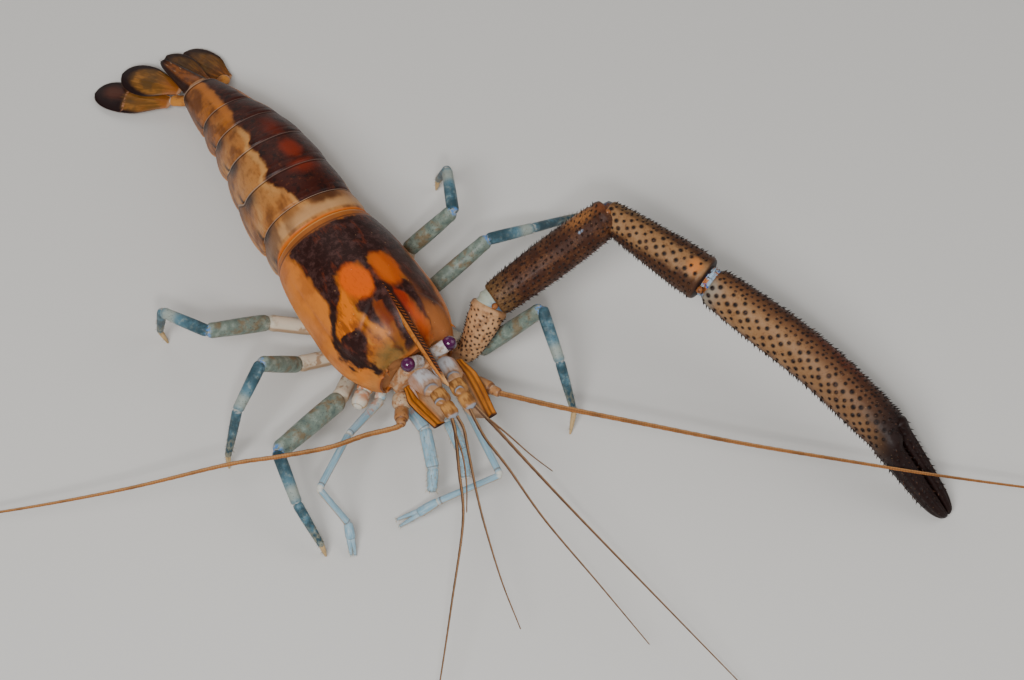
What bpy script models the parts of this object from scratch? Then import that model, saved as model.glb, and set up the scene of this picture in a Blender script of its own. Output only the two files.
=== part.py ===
"""Bigclaw river shrimp: a still, life-size model of the whole animal, as it stands on a stream bed.

Sizes are in millimetres and turned into metres when a mesh is made. The head points along -Y, the
animal's left side is +X, and the floor is z = 0. The points below are measured from the floor under
the middle of the carapace's rear margin, and every object hangs from an empty that moves that point
so that the whole footprint is centred on the world's origin.
"""
import math
import random

import bmesh
import bpy
from mathutils import Matrix, Vector

MM = 0.001
GAP = 0.3
FOOTPRINT_CENTRE = (3.999, -60.879)

# Body sizes
CARAPACE_LENGTH = 60.0
CARAPACE_HALF_WIDTH = 23.0
CARAPACE_ROLL = math.radians(5.0)
ROLL_HEIGHT = 24.0
AXIS_REAR_X = -1.6
AXIS_TURN = 0.036
THORAX_INSET = 4.0
STERNUM_HALF_WIDTH = 7.0
STERNUM_HEIGHT = 8.6
THORAX_FRONT = -56.0
EYE_RADIUS = 2.6
FOOT_RADIUS = 0.45
FEELER_TIP_RADIUS = 0.3
LIMB_SIDES = 6
CLAW_SIDES = 14

# Carapace stations from the rear margin forward: y, half width, crest height, widest height, edge height
CARAPACE_STATIONS = [
    (0.0, 19.2, 42.0, 22.5, 14.6),
    (-3.0, 20.4, 42.4, 22.0, 15.4),
    (-11.0, 22.0, 43.6, 21.6, 16.6),
    (-20.0, 22.8, 45.0, 21.0, 16.6),
    (-30.0, CARAPACE_HALF_WIDTH, 46.2, 20.6, 16.0),
    (-39.0, 23.0, 46.8, 20.4, 15.0),
    (-47.0, 21.8, 46.0, 20.6, 14.6),
    (-53.0, 19.4, 43.6, 21.6, 15.0),
    (-57.5, 16.8, 39.6, 23.2, 16.2),
    (-61.0, 14.0, 35.4, 24.6, 18.2),
]

# Abdomen margins, from the carapace to the telson: y at the back, x of the middle, height of the back,
# half width, height of the pleura's lower edge, roll in degrees, slant of the margin
ABDOMEN_MARGINS = [
    (0.6, -1.5, 41.2, 18.2, 13.0, 6.0, 0.0),
    (10.2, -1.5, 41.8, 17.8, 11.6, 8.0, 0.12),
    (25.5, -1.0, 41.0, 16.8, 10.4, 9.0, 0.26),
    (42.5, -0.2, 37.6, 15.0, 9.6, 9.0, 0.26),
    (57.5, -0.8, 32.8, 13.0, 8.8, 8.0, 0.20),
    (71.0, -2.4, 27.4, 10.8, 8.0, 7.0, 0.12),
    (91.0, -5.0, 18.6, 7.4, 7.4, 4.0, 0.0),
]

# Finishes: base colour, roughness
FINISHES = {
    "shell_tan": ((0.46, 0.24, 0.10, 1.0), 0.35),
    "shell_dark": ((0.14, 0.05, 0.03, 1.0), 0.35),
    "fan_olive": ((0.25, 0.14, 0.04, 1.0), 0.35),
    "leg_teal": ((0.13, 0.28, 0.30, 1.0), 0.40),
    "leg_pale_blue": ((0.35, 0.52, 0.58, 1.0), 0.40),
    "claw_brown": ((0.22, 0.15, 0.09, 1.0), 0.45),
    "feeler_orange": ((0.42, 0.22, 0.09, 1.0), 0.45),
    "eye_dark": ((0.05, 0.02, 0.06, 1.0), 0.10),
    "joint_white": ((0.62, 0.60, 0.55, 1.0), 0.45),
}


def clear_scene():
    """Remove the scene's objects."""
    for old in list(bpy.data.objects):
        bpy.data.objects.remove(old, do_unlink=True)


def new_collection(name):
    """Make a collection in the scene."""
    made = bpy.data.collections.new(name)
    bpy.context.scene.collection.children.link(made)
    return made


def finish_material(finish):
    """Return the material of a finish, made the first time."""
    if finish in bpy.data.materials:
        return bpy.data.materials[finish]
    colour, roughness = FINISHES[finish]
    material = bpy.data.materials.new(finish)
    material.use_nodes = True
    shader = material.node_tree.nodes["Principled BSDF"]
    shader.inputs["Base Color"].default_value = colour
    shader.inputs["Roughness"].default_value = roughness
    shader.inputs["Metallic"].default_value = 0.0
    return material


def lerp(a, b, t):
    """Blend two numbers or two vectors."""
    return a + (b - a) * t


def table_value(rows, place, column):
    """Read a column of a station table at a place along its first column, with straight steps."""
    ordered = sorted(rows, key=lambda row: row[0])
    if place <= ordered[0][0]:
        return ordered[0][column]
    for low, high in zip(ordered, ordered[1:]):
        if place <= high[0]:
            return lerp(low[column], high[column], (place - low[0]) / (high[0] - low[0]))
    return ordered[-1][column]


def smooth_path(points, count):
    """Sample a Catmull-Rom curve through points at even steps of its parameter."""
    knots = [Vector(p) for p in points]
    knots = [knots[0] * 2 - knots[1]] + knots + [knots[-1] * 2 - knots[-2]]
    spans = len(knots) - 3
    path = []
    for index in range(count):
        place = spans * index / (count - 1)
        span = min(int(place), spans - 1)
        t = place - span
        a, b, c, d = knots[span:span + 4]
        path.append(0.5 * (2 * b + (c - a) * t + (2 * a - 5 * b + 4 * c - d) * t ** 2
                           + (3 * b - a - 3 * c + d) * t ** 3))
    return path


def loft(rings):
    """Return a closed bmesh through rings that have the same number of points."""
    bm = bmesh.new()
    made = [[bm.verts.new(Vector(p) * MM) for p in ring] for ring in rings]
    count = len(made[0])
    for ring, following in zip(made, made[1:]):
        for i in range(count):
            j = (i + 1) % count
            bm.faces.new((ring[i], ring[j], following[j], following[i]))
    bm.faces.new(made[0][::-1])
    bm.faces.new(made[-1])
    bmesh.ops.recalc_face_normals(bm, faces=bm.faces)
    bmesh.ops.triangulate(bm, faces=bm.faces)
    return bm


def add_object(name, bm, finish, parts, parent):
    """Turn a bmesh into a smooth shaded object of the collection."""
    mesh = bpy.data.meshes.new(name)
    bm.to_mesh(mesh)
    bm.free()
    mesh.materials.append(finish_material(finish))
    mesh.shade_smooth()
    mesh.set_sharp_from_angle(angle=math.radians(40.0))
    made = bpy.data.objects.new(name, mesh)
    made.parent = parent
    parts.objects.link(made)
    return made


def largest_body(bm):
    """Keep only the largest closed surface of a bmesh."""
    left = set(bm.verts)
    bodies = []
    while left:
        stack = [left.pop()]
        body = set(stack)
        while stack:
            for edge in stack.pop().link_edges:
                for vert in edge.verts:
                    if vert in left:
                        left.discard(vert)
                        body.add(vert)
                        stack.append(vert)
        bodies.append(body)
    keep = max(bodies, key=len)
    bmesh.ops.delete(bm, geom=[v for v in bm.verts if v not in keep], context="VERTS")


def fuse(base, additions, solver="EXACT"):
    """Join additions to a base object with one Boolean union and remove them."""
    joined = bpy.data.collections.new(base.name + "_additions")
    bpy.context.scene.collection.children.link(joined)
    for bm in additions:
        mesh = bpy.data.meshes.new(base.name + "_addition")
        bm.to_mesh(mesh)
        bm.free()
        addition = bpy.data.objects.new(base.name + "_addition", mesh)
        addition.parent = base.parent
        joined.objects.link(addition)
    union = base.modifiers.new("Joined", "BOOLEAN")
    union.operation = "UNION"
    union.operand_type = "COLLECTION"
    union.collection = joined
    union.solver = solver
    bpy.context.view_layer.update()
    evaluated = base.evaluated_get(bpy.context.evaluated_depsgraph_get())
    result = bmesh.new()
    result.from_mesh(evaluated.to_mesh())
    evaluated.to_mesh_clear()
    base.modifiers.remove(union)
    for addition in list(joined.objects):
        bpy.data.objects.remove(addition, do_unlink=True)
    bpy.data.collections.remove(joined)
    bmesh.ops.remove_doubles(result, verts=result.verts, dist=0.0000001)
    largest_body(result)
    bmesh.ops.triangulate(result, faces=result.faces)
    result.to_mesh(base.data)
    result.free()
    base.data.shade_smooth()
    base.data.set_sharp_from_angle(angle=math.radians(40.0))


def circle_ring(centre, across, up, wide, high, sides, square=1.0):
    """Points of an oval ring; square below 1 flattens its sides."""
    ring = []
    for i in range(sides):
        angle = 2 * math.pi * i / sides
        c = math.cos(angle)
        s = math.sin(angle)
        ring.append(centre + across * (wide * math.copysign(abs(c) ** square, c))
                    + up * (high * math.copysign(abs(s) ** square, s)))
    return ring


def onto_plane(ring, along, point, normal):
    """Slide a ring's points along a direction until they lie in a plane."""
    return [p + along * ((point - p).dot(normal) / along.dot(normal)) for p in ring]


def limb_rings(points, radii, sides=LIMB_SIDES, start=None, end=None, flat=1.0, neck=0.82):
    """Rings of a jointed limb.

    points are the joints, radii hold three radii for each segment (near, middle, far), and start and
    end are (point, normal) of the planes that the ends lie in. flat is height over width.
    """
    knots = [Vector(p) for p in points]
    ways = [(b - a).normalized() for a, b in zip(knots, knots[1:])]
    across = ways[0].cross(Vector((0, 0, 1)))
    if across.length < 0.1:
        across = Vector((1, 0, 0))
    rings = []

    def add(place, way, radius, point=None, normal=None):
        nonlocal across
        across = (across - way * across.dot(way)).normalized()
        up = way.cross(across)
        ring = circle_ring(place, across, up, radius, radius * flat, sides)
        if normal is not None:
            ring = onto_plane(ring, way, point, normal)
        rings.append(ring)

    for i, way in enumerate(ways):
        a, b = knots[i], knots[i + 1]
        near, middle, far = radii[i]
        length = (b - a).length
        if i == 0:
            point, normal = start or (a, way)
            add(a, way, near * (neck if start else 1.0), point, normal)
            lead = near * math.tan(way.angle(normal)) if way.angle(normal) < 1.4 else 0.0
        else:
            lead = near * math.tan(ways[i - 1].angle(way) / 2)
        lead = min(max(0.07 * length, lead + 0.5), 0.45 * length)
        add(a + way * lead, way, near)
        if i < len(ways) - 1:
            normal = (way + ways[i + 1]).normalized()
            point = b
            tail = far * math.tan(way.angle(ways[i + 1]) / 2)
            last = neck * min(far, radii[i + 1][0])
        else:
            point, normal = end or (b, way)
            slope = min(way.angle(normal), math.pi - way.angle(normal))
            tail = far * math.tan(slope) if slope < 1.4 else 0.0
            last = far * (neck if end else 0.6)
        tail = min(max(0.07 * length, tail + 0.5), 0.45 * length)
        add(lerp(a + way * lead, b - way * tail, 0.5), way, middle)
        add(b - way * tail, way, far)
        add(b, way, last, point, normal)
    return rings


def mitre(before, joint, after, side):
    """Plane between two segments, moved half a gap to the side of the first (-1) or second (1)."""
    joint = Vector(joint)
    way_in = (joint - Vector(before)).normalized()
    way_out = (Vector(after) - joint).normalized()
    normal = (way_in + way_out).normalized()
    return joint + normal * (side * GAP / 2), normal


def floor_plane(x_y_z):
    """The floor under a foot."""
    return Vector((x_y_z[0], x_y_z[1], 0.0)), Vector((0.0, 0.0, 1.0))


def body_frame(y):
    """Middle, lateral and upward directions of the carapace at a station."""
    middle = Vector((AXIS_REAR_X - AXIS_TURN * y, y, ROLL_HEIGHT))
    lateral = Vector((math.cos(CARAPACE_ROLL), 0.0, -math.sin(CARAPACE_ROLL)))
    upward = Vector((math.sin(CARAPACE_ROLL), 0.0, math.cos(CARAPACE_ROLL)))
    return middle, lateral, upward


def body_point(side, y, z):
    """World place of a point given in the carapace's rolled frame."""
    middle, lateral, upward = body_frame(y)
    return middle + lateral * side + upward * (z - ROLL_HEIGHT)


def dome_ring(place, half_width, top, widest, edge, half_edge, steps, bottom):
    """Ring of an arched shell with a flat underside; place turns (side, height) into a point."""
    fold = math.acos(half_edge / half_width)
    ring = []
    for i in range(steps + 1):
        angle = lerp(-fold, math.pi + fold, i / steps)
        side = half_width * math.cos(angle)
        if math.sin(angle) >= 0:
            height = widest + (top - widest) * math.sin(angle) ** 0.92
        else:
            height = widest + (widest - edge) * math.sin(angle) / math.sin(fold)
        ring.append(place(side, height))
    for i in range(1, bottom):
        ring.append(place(lerp(-half_edge, half_edge, i / bottom), edge))
    return ring


def carapace_edge(y):
    """Half width and height of the carapace's lower edge at a station."""
    half = table_value(CARAPACE_STATIONS, y, 1)
    return half * 0.86, table_value(CARAPACE_STATIONS, y, 4)


# Rostrum: y, underside height, back height, half thickness
ROSTRUM_STATIONS = [
    (-30.0, 42.0, 46.6, 0.9),
    (-42.0, 43.0, 48.0, 1.3),
    (-52.0, 40.4, 47.4, 1.6),
    (-58.0, 39.2, 46.2, 1.7),
    (-64.0, 38.8, 44.8, 1.6),
    (-70.0, 37.8, 43.2, 1.3),
    (-75.0, 37.6, 41.8, 0.9),
    (-79.6, 38.9, 40.1, 0.4),
]
ROSTRUM_TEETH = 12
ROSTRUM_TEETH_SPAN = (-36.0, -75.0)
UNDER_TEETH_SPAN = (-68.0, -75.0)
TOOTH_LENGTH = 2.2
TOOTH_RADIUS = 0.6


def spine(root, way, length, radius, sides=5, sunk=0.8):
    """A pointed spine whose root lies below the surface point it stands on."""
    way = Vector(way).normalized()
    bm = bmesh.new()
    turn = Vector((0, 0, 1)).rotation_difference(way).to_matrix().to_4x4()
    whole = length + sunk
    middle = Vector(root) + way * (whole / 2 - sunk)
    place = Matrix.Translation(middle * MM) @ turn
    bmesh.ops.create_cone(bm, cap_ends=True, segments=sides, radius1=radius * MM, radius2=0.0,
                          depth=whole * MM, matrix=place)
    bmesh.ops.remove_doubles(bm, verts=bm.verts, dist=0.000001)
    bmesh.ops.triangulate(bm, faces=bm.faces)
    return bm


def rostrum_ring(y, low, high, half):
    """Blade section with a rib along each side."""
    rib = lerp(low, high, 0.45)
    places = [(0.0, high), (half * 0.6, lerp(rib, high, 0.5)), (half, rib), (half * 0.5, lerp(low, rib, 0.4)),
              (0.0, low), (-half * 0.5, lerp(low, rib, 0.4)), (-half, rib),
              (-half * 0.6, lerp(rib, high, 0.5))]
    return [body_point(side, y, height) for side, height in places]


def carapace_additions():
    """Rostrum with its teeth and the two spines on each side of the front."""
    additions = [loft([rostrum_ring(*station) for station in ROSTRUM_STATIONS])]
    for i in range(ROSTRUM_TEETH):
        y = lerp(ROSTRUM_TEETH_SPAN[0], ROSTRUM_TEETH_SPAN[1], i / (ROSTRUM_TEETH - 1))
        top = table_value(ROSTRUM_STATIONS, y, 2)
        additions.append(spine(body_point(0, y, top - 0.3), (0, -1.0, 0.55), TOOTH_LENGTH, TOOTH_RADIUS))
    for i in range(3):
        y = lerp(UNDER_TEETH_SPAN[0], UNDER_TEETH_SPAN[1], i / 2)
        low = table_value(ROSTRUM_STATIONS, y, 1)
        additions.append(spine(body_point(0, y, low + 0.3), (0, -1.0, -0.6), TOOTH_LENGTH, TOOTH_RADIUS))
    for side in (-1, 1):
        additions.append(spine(body_point(side * 11.6, -59.6, 31.0), (side * 0.15, -1.0, 0.1), 3.2, 0.9))
        additions.append(spine(body_point(side * 18.6, -52.0, 29.0), (side * 0.35, -1.0, 0.1), 2.6, 0.8))
    return additions


def make_carapace(parts, parent):
    """The shield over head and thorax, with the rostrum."""
    rings = []
    for y, half, top, widest, edge in CARAPACE_STATIONS:
        half_edge = carapace_edge(y)[0]
        rings.append(dome_ring(lambda side, z, y=y: body_point(side, y, z), half, top, widest, edge,
                               half_edge, 20, 4))
    carapace = add_object("carapace", loft(rings), "shell_tan", parts, parent)
    fuse(carapace, carapace_additions())


def thorax_half_width(y):
    """Half width of the thorax's top under the carapace's edge."""
    return carapace_edge(y)[0] - THORAX_INSET


def thorax_spot(side, y, place):
    """A point of the thorax's sloping side, from its top (0) to the sternum (1)."""
    half = lerp(thorax_half_width(y), STERNUM_HALF_WIDTH, place)
    return body_point(side * half, y, lerp(carapace_edge(y)[1] - GAP, STERNUM_HEIGHT, place))


def thorax_side(side, y, place=0.55):
    """Point and outward direction of the thorax's sloping side."""
    back = thorax_spot(side, y + 3.0, place) - thorax_spot(side, y - 3.0, place)
    down = thorax_spot(side, y, 1.0) - thorax_spot(side, y, 0.0)
    return thorax_spot(side, y, place), (down.cross(back) * side).normalized()


def make_thorax(parts, parent):
    """The under body between the legs."""
    rings = []
    for y in (-1.0, -3.0, -11.0, -20.0, -30.0, -39.0, -47.0, -53.0, THORAX_FRONT):
        half, edge = thorax_half_width(y), carapace_edge(y)[1] - GAP
        low = STERNUM_HALF_WIDTH
        places = [(half, edge), (lerp(half, low, 0.5), lerp(edge, STERNUM_HEIGHT, 0.5)),
                  (low, STERNUM_HEIGHT), (0.0, STERNUM_HEIGHT), (-low, STERNUM_HEIGHT),
                  (-lerp(half, low, 0.5), lerp(edge, STERNUM_HEIGHT, 0.5)), (-half, edge),
                  (-half * 0.33, edge), (half * 0.33, edge)]
        rings.append([body_point(side, y, z) for side, z in places])
    add_object("thorax", loft(rings), "joint_white", parts, parent)


# Head block that carries the eyes and feelers: y, half width low, half width high, low, high
HEAD_STATIONS = [
    (-61.0 - GAP, 11.6, 8.0, 20.6, 33.0),
    (-66.0, 12.2, 6.6, 20.0, 33.2),
]


def make_head(parts, parent):
    """The block in front of the carapace."""
    rings = []
    for y, low_half, high_half, low, high in HEAD_STATIONS:
        middle = lerp(low, high, 0.4)
        places = [(high_half, high), (low_half, middle), (low_half * 0.8, low), (0.0, low),
                  (-low_half * 0.8, low), (-low_half, middle), (-high_half, high), (0.0, high)]
        rings.append([body_point(side, y, z) for side, z in places])
    add_object("head_front", loft(rings), "shell_tan", parts, parent)


def margin_frame(margin, offset):
    """Place function of an abdomen margin, moved along the body by offset."""
    y, x, top, half, low, roll, slant = margin
    roll = math.radians(roll)
    pivot = lerp(low, top, 0.45)

    def place(side, z):
        up = z - pivot
        return Vector((x + side * math.cos(roll) + up * math.sin(roll),
                       y + offset + slant * (top - z),
                       pivot - side * math.sin(roll) + up * math.cos(roll)))
    return place


def blend_margin(a, b, t):
    """A station between two margins."""
    return tuple(lerp(p, q, t) for p, q in zip(a, b))


def somite_ring(margin, offset, grow, pleura):
    """Ring of an abdomen ring: arched back, hanging side plates and the belly between them."""
    y, x, top, half, low, roll, slant = margin
    place = margin_frame(margin, offset)
    half = half + grow
    top = top + grow
    widest = lerp(low, top, 0.42)
    edge = low - pleura
    belly = lerp(low, top, 0.22)
    steps = 12
    ring = [place(half * 0.93, edge)]
    for i in range(steps + 1):
        angle = math.pi * i / steps
        ring.append(place(half * math.cos(angle), widest + (top - widest) * math.sin(angle) ** 0.9))
    ring.append(place(-half * 0.93, edge))
    ring.append(place(-half * 0.93 + 1.4, edge + 0.3))
    ring.append(place(-half * 0.72, belly))
    ring.append(place(0.0, belly - 0.8))
    ring.append(place(half * 0.72, belly))
    ring.append(place(half * 0.93 - 1.4, edge + 0.3))
    return ring


PLEOPOD_LENGTH = [12.5, 13.5, 12.5, 10.0, 6.5]
PLEOPOD_HALF_WIDTH = 2.2


def pleopods(index, margin):
    """The pair of swimming legs under an abdomen ring: a stem with two flaps, swept back."""
    made = []
    low, half = margin[4], margin[3]
    place = margin_frame(margin, 0.0)
    belly = lerp(low, margin[2], 0.22)
    length = PLEOPOD_LENGTH[index]
    for side in (-1, 1):
        root = place(side * half * 0.36, belly + 1.2)
        knee = place(side * half * 0.38, belly - 2.4) + Vector((0, 1.4, 0))
        for spread in (-1, 1):
            tip = Vector((knee.x + spread * 1.7, knee.y + length * 0.86, max(2.0, knee.z - length * 0.56)))
            way = (tip - knee).normalized()
            across = Vector((1, 0, 0))
            up = way.cross(across)
            rings = [circle_ring(knee.lerp(tip, t), across, up, PLEOPOD_HALF_WIDTH * w, 0.45, 6)
                     for t, w in ((-0.12, 0.5), (0.3, 1.0), (0.75, 0.85), (1.0, 0.25))]
            made.append(loft(rings))
        stem = [circle_ring(p, Vector((1, 0, 0)), Vector((0, 1, 0)), 1.9, 1.3, 6)
                for p in (root, knee - Vector((0, 0, 0.6)))]
        made.append(loft(stem))
    return made


def make_abdomen(parts, parent):
    """Six rings, the first five with their swimming legs."""
    for i, (front, rear) in enumerate(zip(ABDOMEN_MARGINS, ABDOMEN_MARGINS[1:])):
        pleura = (1.0, 1.8, 1.4, 1.2, 1.0, 0.0)[i]
        stations = [(front, GAP / 2 if i else GAP, -0.6, 0.0),
                    (blend_margin(front, rear, 0.3), 0.0, 0.1, pleura),
                    (blend_margin(front, rear, 0.7), 0.0, 0.4, pleura),
                    (rear, -GAP / 2, 0.2, pleura * 0.4)]
        rings = [somite_ring(*station) for station in stations]
        somite = add_object("abdomen_%d" % (i + 1), loft(rings), "shell_dark", parts, parent)
        if i < 5:
            fuse(somite, pleopods(i, blend_margin(front, rear, 0.5)))


TELSON_START = (-5.4, 91.6, 13.4)
TELSON_END = (-9.9, 116.0, 6.4)
# Blades of the tail fan: start, end, tilt in degrees, half width
FAN_BLADES = {
    "uropod_endopod_R": ((-9.6, 99.6, 6.8), (-25.4, 120.0, 4.6), -3.0, 6.8),
    "uropod_exopod_R": ((-15.2, 98.0, 4.4), (-37.8, 119.4, 1.6), 3.0, 7.1),
    "uropod_endopod_L": ((0.6, 97.4, 7.2), (-6.4, 119.6, 3.9), 5.0, 4.8),
    "uropod_exopod_L": ((8.8, 96.2, 4.2), (0.6, 119.0, 1.6), -3.0, 5.8),
}
PROTOPODS = {
    "uropod_base_R": ((-9.8, 93.5, 6.6), (-14.4, 96.2, 5.2)),
    "uropod_base_L": ((2.4, 93.8, 6.9), (7.6, 94.4, 6.5)),
}


def blade_rings(start, end, tilt, half_width, ridges=2, thick=0.5, count=8):
    """Rings of an oval blade with lengthwise ridges on its upper face."""
    start, end = Vector(start), Vector(end)
    way = (end - start).normalized()
    level = way.cross(Vector((0, 0, 1))).normalized()
    across = Matrix.Rotation(math.radians(tilt), 3, way) @ level
    up = across.cross(way)
    rings = []
    steps = 2 * ridges + 3
    for k in range(count):
        t = k / (count - 1)
        half = half_width * max(0.34, math.sin(math.pi * lerp(0.12, 0.94, t)) ** 0.6)
        ring = []
        for i in range(steps):
            u = lerp(-1.0, 1.0, i / (steps - 1))
            ridge = 0.45 if i % 2 and abs(u) < 0.9 else 0.0
            rise = 0.25 if abs(u) > 0.99 else thick + ridge
            ring.append(start.lerp(end, t) + across * (half * u) + up * rise)
        for i in range(steps):
            u = lerp(1.0, -1.0, i / (steps - 1))
            drop = 0.25 if abs(u) > 0.99 else thick
            ring.append(start.lerp(end, t) + across * (half * u) - up * drop)
        rings.append(ring)
    return rings


def make_tail_fan(parts, parent):
    """Telson and the two pairs of side blades."""
    start, end = Vector(TELSON_START), Vector(TELSON_END)
    way = (end - start).normalized()
    across = Vector((math.cos(math.radians(4)), 0, -math.sin(math.radians(4))))
    across = (across - way * across.dot(way)).normalized()
    up = across.cross(way)
    rings = [circle_ring(start.lerp(end, t), across, up, wide, high, 10)
             for t, wide, high in ((0.0, 5.0, 3.6), (0.25, 4.8, 2.8), (0.6, 3.4, 1.8), (0.88, 2.1, 1.1),
                                   (1.0, 0.9, 0.5))]
    rings[0] = onto_plane(rings[0], way, Vector((0, ABDOMEN_MARGINS[-1][0] + GAP / 2, 0)), Vector((0, 1, 0)))
    add_object("telson", loft(rings), "shell_dark", parts, parent)
    for name, (low, high) in PROTOPODS.items():
        rings = limb_rings((low, high), [(2.0, 2.2, 1.9)], flat=0.7)
        add_object(name, loft(rings), "shell_tan", parts, parent)
    for name, (low, high, tilt, half) in FAN_BLADES.items():
        add_object(name, loft(blade_rings(low, high, tilt, half)), "fan_olive", parts, parent)


# Eyes
EYES = {"R": (-4.8, -64.9, 38.6), "L": (11.6, -64.6, 37.8)}
STALK_ROOTS = {"R": (0.2, -63.8), "L": (5.4, -63.8)}


def make_eyes(parts, parent):
    """A dark round eye on a short stalk at each side of the rostrum."""
    for side, centre in EYES.items():
        centre = Vector(centre)
        x, y = STALK_ROOTS[side]
        middle, lateral, upward = body_frame(y)
        root = body_point(x - middle.x, y, HEAD_STATIONS[0][4] + 0.2 + GAP)
        bend = root + upward * 2.0 + (centre - root).normalized() * 0.6
        way = (centre - bend).normalized()
        neck = centre - way * (EYE_RADIUS * 0.62)
        rings = limb_rings((root, bend, neck), [(1.8, 1.9, 2.0), (2.0, 2.2, 2.2)], 8,
                           start=(root, upward), end=(neck - way * GAP, way), neck=0.95)
        add_object("eyestalk_" + side, loft(rings), "joint_white", parts, parent)
        bm = bmesh.new()
        bmesh.ops.create_uvsphere(bm, u_segments=12, v_segments=8, radius=EYE_RADIUS * MM,
                                  matrix=Matrix.Translation(centre * MM))
        cut = bmesh.ops.bisect_plane(bm, geom=bm.verts[:] + bm.edges[:] + bm.faces[:], dist=0.0000001,
                                     plane_co=neck * MM, plane_no=-way, clear_outer=True)
        rim = [item for item in cut["geom_cut"] if isinstance(item, bmesh.types.BMEdge)]
        bmesh.ops.edgeloop_fill(bm, edges=rim)
        bmesh.ops.recalc_face_normals(bm, faces=bm.faces)
        bmesh.ops.triangulate(bm, faces=bm.faces)
        add_object("eye_" + side, bm, "eye_dark", parts, parent)


# Antennules: joints of the peduncle and routes of the flagella
HEAD_FRONT_Y = -66.0
ANTENNULE_JOINTS = {
    "R": ((-2.8, HEAD_FRONT_Y - GAP, 31.2), (-0.5, -76.0, 33.4), (-0.3, -82.0, 33.4), (-0.3, -87.6, 33.0)),
    "L": ((7.5, HEAD_FRONT_Y - GAP, 31.0), (6.9, -76.0, 33.4), (6.7, -82.0, 33.4), (6.8, -87.5, 33.0)),
}
ANTENNULE_RADII = [(4.2, 4.3, 3.5), (3.2, 3.2, 3.0), (2.8, 2.8, 2.5)]
ANTENNULE_FLATNESS = 0.55
OUTER_FLAGELLA = {
    "R": ((-1.3, -87.9, 33.2), (-3.0, -93.0, 32.6), (-8.5, -104.5, 30.0), (-15.9, -119.4, 26.0),
          (-32.4, -139.7, 19.0), (-48.9, -159.4, 12.0), (-62.0, -174.0, 7.0)),
    "L": ((7.9, -87.8, 33.2), (10.1, -97.8, 31.0), (13.6, -114.1, 27.0), (18.4, -135.2, 22.0),
          (25.3, -165.0, 16.0), (33.5, -200.2, 9.0), (36.5, -214.0, 7.0)),
}
SHORT_BRANCHES = {
    "R": ((-2.7, -92.0, 32.8), (-5.4, -102.0, 32.4), (-9.4, -111.0, 30.6), (-14.2, -119.0, 28.6)),
    "L": ((9.0, -92.5, 32.2), (12.0, -102.0, 31.6), (15.2, -112.0, 29.6), (18.8, -120.5, 27.6)),
}
INNER_FLAGELLA = {
    "R": ((0.7, -87.9, 33.0), (0.3, -93.0, 32.2), (-2.3, -100.1, 31.0), (-7.4, -114.4, 27.0),
          (-10.6, -125.4, 23.0), (-14.5, -142.0, 17.0), (-17.0, -158.0, 12.0)),
    "L": ((5.8, -87.8, 33.0), (5.2, -93.5, 32.2), (5.0, -100.2, 31.0), (6.5, -111.6, 28.0),
          (8.4, -132.1, 22.0), (13.2, -159.2, 15.0), (17.3, -184.0, 9.0)),
}

# Antennae: joints of the peduncle, scale and route of the flagellum
ANTENNA_JOINTS = {
    "R": ((-8.8, HEAD_FRONT_Y - GAP, 22.6), (-11.4, -70.8, 22.4), (-14.2, -75.4, 24.0)),
    "L": ((12.4, HEAD_FRONT_Y - GAP, 21.8), (15.4, -74.0, 22.2), (18.4, -81.6, 25.0)),
}
ANTENNA_RADII = [(3.2, 3.3, 2.8), (2.4, 2.5, 2.2)]
# The rest of each antenna's route, after its root on the peduncle
ANTENNA_ROUTES = {
    "R": ((-15.0, -76.7, 24.5), (-17.2, -77.1, 25.0), (-21.5, -76.5, 25.9), (-28.6, -75.2, 27.2),
          (-41.2, -73.8, 29.0), (-58.0, -68.9, 31.0), (-74.5, -61.9, 30.0), (-107.9, -47.7, 22.0),
          (-145.5, -29.7, 14.0), (-178.0, -12.0, 8.0), (-205.0, 4.0, 4.0)),
    "L": ((19.6, -84.2, 25.5), (24.0, -89.2, 25.9), (34.3, -100.1, 26.0), (54.3, -119.6, 26.0),
          (79.8, -142.9, 24.0), (103.3, -162.9, 22.0), (129.5, -184.9, 20.0), (155.1, -204.6, 17.0),
          (183.0, -224.0, 12.0), (213.0, -243.0, 5.0)),
}
SCALES = {
    "R": ((-5.4, -66.9, 27.4), (-2.8, -86.0, 28.6), -4.0, 5.2),
    "L": ((12.3, -66.6, 26.8), (9.4, -92.4, 28.4), 4.0, 5.2),
}


def feeler_curve(name, route, root_radius, tip_radius, count, parts, parent):
    """A feeler as a bevelled curve that thins towards its tip."""
    data = bpy.data.curves.new(name, "CURVE")
    data.dimensions = "3D"
    data.bevel_depth = MM
    data.bevel_resolution = 1
    data.use_fill_caps = True
    line = data.splines.new("POLY")
    path = smooth_path(route, count)
    line.points.add(count - 1)
    for i, place in enumerate(path):
        line.points[i].co = (*(place * MM), 1.0)
        line.points[i].radius = lerp(root_radius, tip_radius, (i / (count - 1)) ** 0.8)
    data.materials.append(finish_material("feeler_orange"))
    made = bpy.data.objects.new(name, data)
    made.parent = parent
    parts.objects.link(made)
    return made


def curve_as_bmesh(feeler):
    """Closed mesh of a feeler curve, which is then removed."""
    bpy.context.view_layer.update()
    depsgraph = bpy.context.evaluated_depsgraph_get()
    mesh = bpy.data.meshes.new_from_object(feeler.evaluated_get(depsgraph))
    bm = bmesh.new()
    bm.from_mesh(mesh)
    bmesh.ops.remove_doubles(bm, verts=bm.verts, dist=0.000001)
    bmesh.ops.recalc_face_normals(bm, faces=bm.faces)
    bmesh.ops.triangulate(bm, faces=bm.faces)
    bpy.data.meshes.remove(mesh)
    bpy.data.objects.remove(feeler, do_unlink=True)
    return bm


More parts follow.
